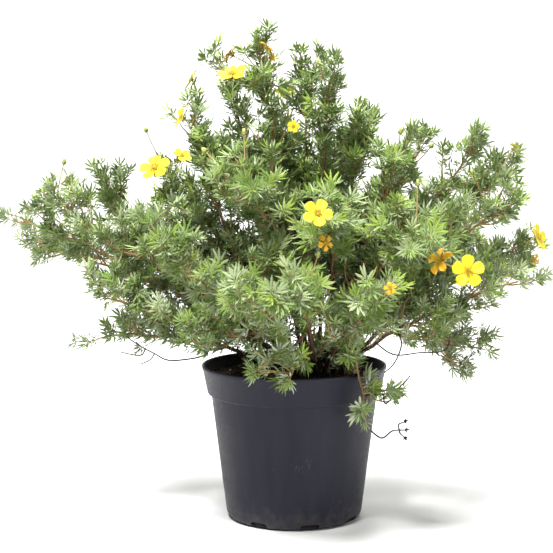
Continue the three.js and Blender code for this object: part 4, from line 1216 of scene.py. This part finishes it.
def stem_skeleton(stem):
    """The paths of one stem as edges, and its flower stalks' ends as loose points."""
    points, edges, rows = [], [], []
    for path in paths:
        if path["stem"] != stem:
            continue
        bends = list(path["points"])
        hanging = path["kind"] == "fork" and bends[-1][2] < bends[-2][2] - 5
        vigour = (HANGING_VIGOUR if hanging else 1) * min(1, length_of(bends) / VIGOROUS)
        if path["kind"] in ("stem", "fork", "shoot"):
            tip_way = unit(bends[-1] - bends[-2])
            bends[-1] = bends[-1] - tip_way * TIP_TRIM * (0.45 + 0.8 * max(0, tip_way[2]))
        for i, (point, radius) in enumerate(zip(bends, path["radii"])):
            if i:
                edges.append((len(points) - 1, len(points)))
            # Wood is oldest where it is thick or near the crown.
            by_crown = 1 - np.linalg.norm(point - CROWN) / BARK_SPREAD
            age = 1 if path["kind"] == "wiry" else np.clip(max((radius - 0.8) / 1.6, by_crown), 0, 1)
            leafy = leafiness(path, point) * (HANGING_LEAVES if hanging else 1)
            points.append(point * MM)
            rows.append((radius * MM, leafy, vigour, age, -1, (1, 0, 0, 0), 1))
    for path, kind, turn, size in stalk_ends:
        if path["stem"] == stem:
            points.append(path["points"][-1] * MM)
            rows.append((MM, 0, 1, 0, kind, tuple(turn), size))
    mesh = bpy.data.meshes.new("skeleton")
    mesh.from_pydata([tuple(p) for p in points], edges, [])
    # The columns are the first of the attributes, in their order.
    for (name, kind), column in zip(ATTRIBUTES.items(), zip(*rows)):
        values = mesh.attributes.new(name, kind, "POINT").data
        values.foreach_set("value", np.ravel(column).tolist())
    return shown("skeleton", mesh)


def joined_copy(names, label):
    """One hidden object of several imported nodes' meshes."""
    shape = bmesh.new()
    for name in names:
        shape.from_mesh(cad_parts[name].data)
    return bpy.data.objects.new(label, shaped(shape, label))


def numbered(word, i):
    return f"{word}_{i + 1:02d}"


open_blooms = joined_copy([numbered("bloom", i) for i in range(len(BLOOMS))], "open_blooms")
growth = growth_tree()
for stem in range(len(STEMS)):
    node = numbered("leafy_stem", stem)
    piece = grown(
        stem_skeleton(stem),
        growth,
        {
            "Twig spacing": 12.6 * MM,
            "Twig length": 64 * MM,
            "Twiglet spacing": 13.5 * MM,
            "Twiglet length": 30 * MM,
            "Leaf spacing": 3.4 * MM,
            "Leaf size": 0.78,
            "Tuft leaves": 3,
            "Leaf shapes": leaf_shapes,
            "End shapes": end_shapes,
            "Blooms": open_blooms,
            "Bark": bark_material,
            "Leaf": leaf_material,
            "Seed": stem * 31 + 5,
        },
        f"{node}_dressed",
    )
    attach(piece, "root")
    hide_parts(node)


# Blooms

BOSS_SHARE, PETAL_SHARE = 0.13, 0.94  # the boss's radius and the petals' length, of a bloom's radius
STAMENS = 26
PETAL_SHAPES = 4  # fresh ones, and as many ragged ones
PETAL_COLUMNS = 6
# For each row of a petal: its distance from the bloom's middle and half its width, as shares of the radius.
PETAL_ROWS = ((0.05, 0.05), (0.2, 0.17), (0.42, 0.32), (0.66, 0.41), (0.86, 0.35), (0.985, 0.16))
PETAL_THICKNESS = 0.018


def petal_shape(number, ragged):
    """One petal along +X from the middle of a bloom of radius 1 metre: rounded, shallowly cupped, thin."""
    draw = drawer(500 + number)
    phases = [draw() * 2 * math.pi for _ in range(3)]
    over, uvs = [], []
    for share, half in PETAL_ROWS:
        half *= 1 - ragged * (0.12 + 0.3 * draw())
        for k in range(PETAL_COLUMNS + 1):
            across = 2 * k / PETAL_COLUMNS - 1
            notch = 0.05 * share**4 * (1 - across * across) * (draw() * 0.6 + 0.4)
            x = share * (1 - 0.06 * across * across * share) - notch + 0.02
            y = half * across * (1 + 0.04 * math.sin(3 * share + phases[0]))
            ruffle = ragged * 0.09 * share * math.sin(5 * across + phases[1])
            ruffle *= math.cos(4 * share + phases[2])
            curl = -ragged * 0.35 * share**3
            over.append((x, y, 0.02 + 0.2 * share**1.4 + 0.07 * across * across * share + ruffle + curl))
            uvs.append((0.5 + across / 2, share))
    wide, count = PETAL_COLUMNS + 1, len(over)
    under = [(x, y, z - PETAL_THICKNESS) for x, y, z in over]
    faces = []
    for i in range(len(PETAL_ROWS) - 1):
        for a in range(i * wide, i * wide + PETAL_COLUMNS):
            quad = (a, a + wide, a + wide + 1, a + 1)
            faces += [quad, tuple(count + c for c in reversed(quad))]
    right = range(PETAL_COLUMNS, count - 1, wide)
    left = range(count - wide, 0, -wide)
    rim = [*range(PETAL_COLUMNS), *right, *range(count - 1, count - wide, -1), *left]
    faces += [(a, b, b + count, a + count) for a, b in zip(rim, rim[1:] + rim[:1])]
    corners = [uvs[c % count] for face in faces for c in face]
    return new_object(f"petal_{number}", over + under, faces, (), corners)


def stamen_shape():
    """A thin filament along +X, 1 metre long, with a fat anther at its end."""
    blades = Blades()
    blades.add_stalk([np.zeros(3), np.array([0.9, 0, 0])], 0.035)
    first, stalk_faces = len(blades.vertices), len(blades.faces)
    middle = np.array([0.95, 0, 0])
    for out in ((0.16, 0, 0), (-0.16, 0, 0), (0, 0.2, 0), (0, -0.2, 0), (0, 0, 0.12), (0, 0, -0.12)):
        blades.vertices.append(middle + np.array(out))
    anther = [(0, 2, 4), (2, 1, 4), (1, 3, 4), (3, 0, 4), (2, 0, 5), (1, 2, 5), (3, 1, 5), (0, 3, 5)]
    uv_of = dict.fromkeys(range(first, first + 6), (0.5, 0.5))
    blades.cover([tuple(first + c for c in face) for face in anther], uv_of)
    piece = blades.made("stamen", filament_material, anther_material)
    piece.data.polygons.foreach_set("material_index", [0] * stalk_faces + [1] * len(anther))
    return piece


def receptacle(radius):
    """The low hairy boss in the middle of a bloom, in metres."""
    rings, sides = ((1, -0.9), (1.05, 0.0), (0.85, 0.55), (0.45, 0.9)), 10
    draw = drawer(321)
    vertices = [(0, 0, -0.9 * radius)]
    for out, up in rings:
        for k in range(sides):
            turn = 2 * math.pi * k / sides
            size = (1 + 0.16 * (draw() - 0.5)) * radius
            vertices.append((out * size * math.cos(turn), out * size * math.sin(turn), up * size))
    vertices.append((0, 0, radius))
    faces = ring_faces(len(rings), sides)
    return new_object("receptacle", vertices, faces, (boss_material,), [(0.5, 0.5)] * sum(map(len, faces)))


def bloom_tree():
    """Five petals and a ring of stamens round a receptacle."""
    inputs = {
        "Geometry": "Geometry", "Radius": "Float", "Petals": "Collection", "Petal": "Material",
        "Unevenness": "Float", "Stamen": "Object", "Stamens": "Int", "Seed": "Int",
    }
    tree, given = new_tree("open_bloom", inputs)
    index = add_node(tree, "GeometryNodeInputIndex")
    least = add_node(tree, "ShaderNodeMath", {0: given["Unevenness"], 1: -1.0}, operation="MULTIPLY")
    wobble, lean, length = (
        add_node(tree, "FunctionNodeRandomValue", {2: low, 3: high, 8: given["Seed"]}).outputs[1]
        for low, high in ((least, given["Unevenness"]), (-1.25, -0.35), (0.2, 0.32))
    )
    turn = add_node(tree, "ShaderNodeMath", {0: index, 1: PETAL_TURN}, operation="MULTIPLY")
    turn = add_node(tree, "ShaderNodeMath", {0: wobble, 1: 0.35, 2: turn}, operation="MULTIPLY_ADD")
    euler = add_node(tree, "ShaderNodeCombineXYZ", {0: 0.05, 1: wobble, 2: turn})
    euler = add_node(tree, "FunctionNodeEulerToRotation", {0: euler})
    spots = add_node(tree, "GeometryNodePoints", {"Count": PETALS})
    inputs = {4: 0, 5: PETAL_SHAPES - 1, 8: given["Seed"]}
    pick = add_node(tree, "FunctionNodeRandomValue", inputs, data_type="INT").outputs[2]
    petals = stand_on(tree, spots, given["Petals"], pick, euler, given["Radius"])
    petals = add_node(tree, "GeometryNodeRealizeInstances", {0: petals})
    petals = add_node(tree, "GeometryNodeSetMaterial", {0: petals, "Material": given["Petal"]})

    golden = add_node(tree, "ShaderNodeMath", {0: index, 1: GOLDEN_TURN}, operation="MULTIPLY")
    euler = add_node(tree, "ShaderNodeCombineXYZ", {1: lean, 2: golden})
    euler = add_node(tree, "FunctionNodeEulerToRotation", {0: euler})
    length = add_node(tree, "ShaderNodeMath", {0: length, 1: given["Radius"]}, operation="MULTIPLY")
    spots = add_node(tree, "GeometryNodePoints", {"Count": given["Stamens"]})
    stamen = add_node(tree, "GeometryNodeObjectInfo", {"Object": given["Stamen"]}).outputs["Geometry"]
    inputs = {"Points": spots, "Instance": stamen, "Rotation": euler, "Scale": length}
    stamens = add_node(tree, "GeometryNodeInstanceOnPoints", inputs)
    stamens = add_node(tree, "GeometryNodeRealizeInstances", {0: stamens})
    whole = add_node(tree, "GeometryNodeJoinGeometry", {0: [given["Geometry"], petals, stamens]})
    add_node(tree, "NodeGroupOutput", {0: whole})
    return tree


fresh_petals = shelf("fresh_petals", [petal_shape(i, 0.25) for i in range(PETAL_SHAPES)])
ragged_petals = shelf("ragged_petals", [petal_shape(PETAL_SHAPES + i, 1) for i in range(PETAL_SHAPES)])
stamen = stamen_shape()
shelf("stamens", [stamen])
opening = bloom_tree()
for i, bloom in enumerate(blooms):
    radius = bloom["radius"] * MM
    piece = grown(
        receptacle(BOSS_SHARE * radius),
        opening,
        {
            "Radius": PETAL_SHARE * radius,
            "Petals": ragged_petals if bloom["age"] else fresh_petals,
            "Petal": orange_material if bloom["age"] else lemon_material,
            "Unevenness": 0.22 if bloom["age"] else 0.1,
            "Stamen": stamen,
            "Stamens": STAMENS,
            "Seed": i * 17 + 3,
        },
        f"{numbered('bloom', i)}_dressed",
    )
    turn = quaternion_to(bloom["facing"], bloom["across"]).to_matrix().to_4x4()
    piece.data.transform(Matrix.Translation(Vector(bloom["centre"] * MM)) @ turn)
    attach(piece, "root")
    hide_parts(numbered("bloom", i))


# Pot

POT_SIDES = 120
FOOT_RECESS, FOOT_RECESS_RADIUS = 1.2, 54  # the middle of the underside stands clear of the ground
LIP = 1.3  # radius of the rolled lip
LIP_DEPTH = 5  # from the pot's top to where the band's plain wall starts
SLOT_BEVEL = 1.2 * MM
# The band is creased and pushed in a little at the right, and no thin wall is quite round.
CREASE_BEARING, CREASE_WIDTH, CREASE_DEPTH = -62 * DEGREE, 0.09, 1.2 * MM
CREASE_FOOT, CREASE_FADE = 118 * MM, 20 * MM
BOW, USUAL_RADIUS = 0.6 * MM, 90 * MM


def lathe(name, profile, sides, materials):
    """A closed solid turned about +Z from a profile that starts and ends on the axis, in mm."""
    vertices = [(0, 0, profile[0][1] * MM)]
    for r, z in profile[1:-1]:
        for k in range(sides):
            turn = 2 * math.pi * k / sides
            vertices.append((r * MM * math.cos(turn), r * MM * math.sin(turn), z * MM))
    vertices.append((0, 0, profile[-1][1] * MM))
    return new_object(name, vertices, ring_faces(len(profile) - 2, sides), materials)


def rounded(middle, radius, start, end, steps):
    """Points of an arc in a profile, from one angle to another in degrees."""
    angles = [(start + (end - start) * i / steps) * DEGREE for i in range(steps + 1)]
    return [(middle[0] + radius * math.cos(a), middle[1] + radius * math.sin(a)) for a in angles]


def pot_piece():
    """The pot: a thin moulded wall with a rounded foot, a step up to its band and a rolled lip."""
    outer = [
        (0, FOOT_RECESS),
        (FOOT_RECESS_RADIUS, FOOT_RECESS),
        (FOOT_RECESS_RADIUS + 2, 0),
        *rounded((WALL_FOOT_RADIUS - FOOT_ROUNDING, FOOT_ROUNDING), FOOT_ROUNDING, -90, -4, 7),
        (WALL_TOP_RADIUS - 0.1, BAND_FOOT - STEP_HEIGHT - 0.8),
        (WALL_TOP_RADIUS + 0.2, BAND_FOOT - STEP_HEIGHT),
        (BAND_FOOT_RADIUS - 0.6, BAND_FOOT - 0.9),
        (BAND_FOOT_RADIUS, BAND_FOOT),
        (RIM_RADIUS - 0.9, POT_HEIGHT - LIP_DEPTH),
        (RIM_RADIUS - 0.2, POT_HEIGHT - LIP_DEPTH + 0.6),
        *rounded((RIM_RADIUS - 1.1, POT_HEIGHT - LIP), LIP, -10, 190, 8),
    ]
    inner = [
        (RIM_RADIUS - 0.9 - WALL, POT_HEIGHT - LIP_DEPTH),
        (BAND_FOOT_RADIUS - WALL, BAND_FOOT + 0.8),
        (WALL_TOP_RADIUS - WALL, BAND_FOOT - STEP_HEIGHT + 0.8),
        (WALL_FOOT_RADIUS - WALL, FOOT_ROUNDING),
        (65, FLOOR),
        (0, FLOOR),
    ]
    pot = lathe("pot_dressed", outer + inner, POT_SIDES, (pot_material,))
    slots = bmesh.new()
    for i in range(SLOTS):
        at = (
            Matrix.Rotation(SLOT_TURN + i * 2 * math.pi / SLOTS, 4, "Z")
            @ Matrix.Translation((WALL_FOOT_RADIUS * MM, 0, (SLOT_HEIGHT - 1) / 2 * MM))
            @ Matrix.Diagonal((14 * MM, SLOT_WIDTH * MM, (SLOT_HEIGHT + 1) * MM, 1))
        )
        bmesh.ops.create_cube(slots, size=1, matrix=at)
    bmesh.ops.bevel(slots, geom=list(slots.edges), offset=SLOT_BEVEL, segments=2, affect="EDGES")
    cutter = shown("slots", shaped(slots, "slots"))
    cut = pot.modifiers.new("slots", "BOOLEAN")
    cut.operation, cut.object, cut.solver = "DIFFERENCE", cutter, "EXACT"
    mesh = finished_mesh(pot)
    pot.modifiers.clear()
    pot.data = mesh
    bpy.data.objects.remove(cutter)
    for vertex in mesh.vertices:
        x, y, z = vertex.co
        bearing = math.atan2(y, x)
        crease = math.exp(-(((bearing - CREASE_BEARING) / CREASE_WIDTH) ** 2))
        crease *= np.clip((z - CREASE_FOOT) / CREASE_FADE, 0, 1)
        bow = BOW * math.sin(2 * bearing + 0.7) * z / (POT_HEIGHT * MM)
        push = 1 + (bow - CREASE_DEPTH * crease) / USUAL_RADIUS
        vertex.co = (x * push, y * push, z)
    mesh.set_sharp_from_angle(angle=50 * DEGREE)
    return pot


pot = pot_piece()
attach(pot, "root")
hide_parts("pot")


# Soil

SOIL_SIDES = 96
LUMPS = ((60, 0, 1.6), (220, 1, 1.1))  # how many to a metre, the layer of noise, and how high in mm
HEAP, HEAP_REACH = 1.2, 35 * MM  # round the crown
SINK = 0.8
CHIPS = ((1.3, 0.6, 0.35), (1.5, 0.45, 0.3), (1.1, 0.7, 0.3))  # how far each kind is stretched


def soil_body():
    """The potting mix: a plug that fills the pot, with a crumbly top that sinks a little to the wall."""
    gap = 0.5
    profile = [
        (0, FLOOR + gap),
        (64, FLOOR + gap),
        (WALL_FOOT_RADIUS - WALL - gap, FOOT_ROUNDING + 1),
        (WALL_TOP_RADIUS - WALL - gap, BAND_FOOT - STEP_HEIGHT),
        (BAND_FOOT_RADIUS - WALL - gap, BAND_FOOT + 1.5),
        (90.3, SOIL_TOP - 1),
        *((r, SOIL_TOP) for r in range(88, 2, -4)),
        (0, SOIL_TOP),
    ]
    body = lathe("soil", profile, SOIL_SIDES, (peat_material,))
    for vertex in body.data.vertices:
        x, y, z = vertex.co
        if z > (SOIL_TOP - 0.5) * MM:
            lumps = sum(noise.noise(Vector((x, y, layer)) * often) * high for often, layer, high in LUMPS)
            heap = HEAP * math.exp(-((math.hypot(x - CROWN[0] * MM, y) / HEAP_REACH) ** 2))
            vertex.co.z = z + (lumps + heap - SINK) * MM
    return body


def grain(name, seed, stretch, material):
    """A crumb, chip or lump of 20 faces and about 1 metre across, stretched along its axes."""
    shape = bmesh.new()
    bmesh.ops.create_icosphere(shape, subdivisions=1, radius=0.5)
    draw = drawer(seed)
    for vertex in shape.verts:
        vertex.co = Vector(c * s * (0.75 + 0.5 * draw()) for c, s in zip(vertex.co, stretch))
    mesh = shaped(shape, name)
    mesh.materials.append(material)
    return shown(name, mesh)


def rootlet(name, seed):
    """A thin crooked rootlet about 1 metre long."""
    draw = drawer(seed)
    blades = Blades()
    blades.add_stalk([np.array([i / 5 - 0.5, 0.25 * (draw() - 0.5), 0.1 * draw()]) for i in range(6)], 0.028)
    return blades.made(name, chip_material)


def scatter_tree():
    """Grains scattered over the upward faces of a surface, turned at random."""
    inputs = {
        "Geometry": "Geometry", "Density": "Float", "Shapes": "Collection", "Kinds": "Int",
        "Smallest": "Float", "Largest": "Float", "Tumble": "Float", "Within": "Float", "Seed": "Int",
    }
    tree, given = new_tree("scatter", inputs)
    place_on = add_node(tree, "GeometryNodeInputPosition")
    x, y, height = add_node(tree, "ShaderNodeSeparateXYZ", {0: place_on}).outputs
    level = (SOIL_TOP - 5) * MM
    top = add_node(tree, "FunctionNodeCompare", {0: height, 1: level}, operation="GREATER_THAN")
    flat = add_node(tree, "ShaderNodeCombineXYZ", {0: x, 1: y})
    out = add_node(tree, "ShaderNodeVectorMath", {0: flat}, operation="LENGTH").outputs["Value"]
    within = add_node(tree, "FunctionNodeCompare", {0: out, 1: given["Within"]}, operation="LESS_THAN")
    top = add_node(tree, "FunctionNodeBooleanMath", {0: top, 1: within}, operation="AND")
    inputs = {"Mesh": given["Geometry"], "Selection": top}
    inputs |= {name: given[name] for name in ("Density", "Seed")}
    spots = add_node(tree, "GeometryNodeDistributePointsOnFaces", inputs)
    tumble = given["Tumble"]
    back = add_node(tree, "ShaderNodeMath", {0: tumble, 1: -1.0}, operation="MULTIPLY")
    low = add_node(tree, "ShaderNodeCombineXYZ", {0: back, 1: back, 2: 0.0})
    high = add_node(tree, "ShaderNodeCombineXYZ", {0: tumble, 1: tumble, 2: 6.28})
    last = add_node(tree, "ShaderNodeMath", {0: given["Kinds"], 1: 1.0}, operation="SUBTRACT")
    spin, size, pick = (
        add_node(tree, "FunctionNodeRandomValue", {**limits, 8: given["Seed"]}, data_type=kind).outputs[i]
        for limits, kind, i in (
            ({0: low, 1: high}, "FLOAT_VECTOR", 0),
            ({2: given["Smallest"], 3: given["Largest"]}, "FLOAT", 1),
            ({4: 0, 5: last}, "INT", 2),
        )
    )
    spin = add_node(tree, "FunctionNodeEulerToRotation", {0: spin})
    grains = stand_on(tree, spots, given["Shapes"], pick, spin, size)
    grains = add_node(tree, "GeometryNodeRealizeInstances", {0: grains})
    whole = add_node(tree, "GeometryNodeJoinGeometry", {0: [given["Geometry"], grains]})
    add_node(tree, "NodeGroupOutput", {0: whole})
    return tree


crumbs = [grain(f"crumb_{i}", 60 + i, (1, 0.8, 0.7), peat_material) for i in range(4)]
bits = [grain(f"bit_{i}", 70 + i, stretch, chip_material) for i, stretch in enumerate(CHIPS)]
bits.append(grain("bit_3", 73, (0.5, 0.45, 0.4), perlite_material))
bits += [rootlet("bit_4", 74), rootlet("bit_5", 75)]
scatter = scatter_tree()
soil = soil_body()
# Each coat of grains: what they make, their shelf and shapes, how many to a square metre, their sizes,
# tumble, reach from the middle and seed.
for name, coat, shapes, density, smallest, largest, tumble, within, seed in (
    ("soil_crumbs", "crumbs", crumbs, 42000, 1.5 * MM, 4.5 * MM, 3.1, 88.5 * MM, 8),
    ("soil_dressed", "bits", bits, 6500, 4 * MM, 13 * MM, 0.35, 81.5 * MM, 21),
):
    soil = grown(
        soil,
        scatter,
        {
            "Density": density,
            "Shapes": shelf(coat, shapes),
            "Kinds": len(shapes),
            "Smallest": smallest,
            "Largest": largest,
            "Tumble": tumble,
            "Within": within,
            "Seed": seed,
        },
        name,
    )
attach(soil, "root")
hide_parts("soil")


# Stage, light and camera

FLOOR_END, SWEEP = 2.2, 0.8  # where the floor starts to rise, and the radius of its rise
PHOTO_SIDE, FOCAL_LENGTH = 553, 1562.6  # in the photo's pixels
SENSOR = 36
CAMERA_AT, CAMERA_DIP = (-0.0183, -1.6, 0.4225), 0.107


def stage_floor():
    """A pale floor that curves up into a backdrop far behind."""
    angles = np.linspace(0.13, 1.57, 12)
    bend = [(FLOOR_END + SWEEP * math.sin(a), SWEEP - SWEEP * math.cos(a)) for a in angles]
    sweep = [(-3, 0), (FLOOR_END, 0), *bend, (FLOOR_END + SWEEP, 4)]
    vertices = [(x, y, z) for y, z in sweep for x in (-4, 4)]
    faces = [(2 * i, 2 * i + 1, 2 * i + 3, 2 * i + 2) for i in range(len(sweep) - 1)]
    # Paper: matt and nearly even.
    material, tree, surface, place_on = new_material("studio_paper", 0.9)
    fibres = add_node(tree, "ShaderNodeTexNoise", {"Vector": place_on, "Scale": 300})
    paint(tree, surface, "#f4f4f3", ((fibres, "#fbfbfa"),))
    new_object("studio_floor", vertices, faces, (material,))


def area_light(name, place_at, aim, size, watts):
    light = bpy.data.lights.new(name, "AREA")
    light.shape, light.size, light.energy = "DISK", size, watts
    lamp = shown(name, light)
    lamp.location = place_at
    lamp.rotation_euler = (Vector(aim) - Vector(place_at)).to_track_quat("-Z", "Y").to_euler()


stage_floor()
area_light("key", (-0.45, -1.3, 2.2), (0, 0, 0.3), 0.45, 100)
area_light("fill", (1.6, -1.3, 0.9), (0, 0, 0.25), 1.2, 7)
area_light("top", (0.2, 0.6, 2.2), (0, 0, 0.3), 0.8, 34)
area_light("backdrop", (0, 0.9, 2.6), (0, 3, 0.9), 1.6, 90)
world = bpy.data.worlds.new("studio")
bpy.context.scene.world = world
world.use_nodes = True
world.node_tree.nodes["Background"].inputs["Color"].default_value = (1, 1, 1, 1)
world.node_tree.nodes["Background"].inputs["Strength"].default_value = 0.16
bpy.context.scene.view_settings.view_transform = "Standard"

view = bpy.data.cameras.new("camera")
view.sensor_width = SENSOR
view.lens = SENSOR * FOCAL_LENGTH / PHOTO_SIDE
view.clip_start, view.clip_end = 0.05, 20
camera = shown("camera", view)
camera.location = CAMERA_AT
camera.rotation_euler = (math.pi / 2 - CAMERA_DIP, 0, 0)
bpy.context.scene.camera = camera
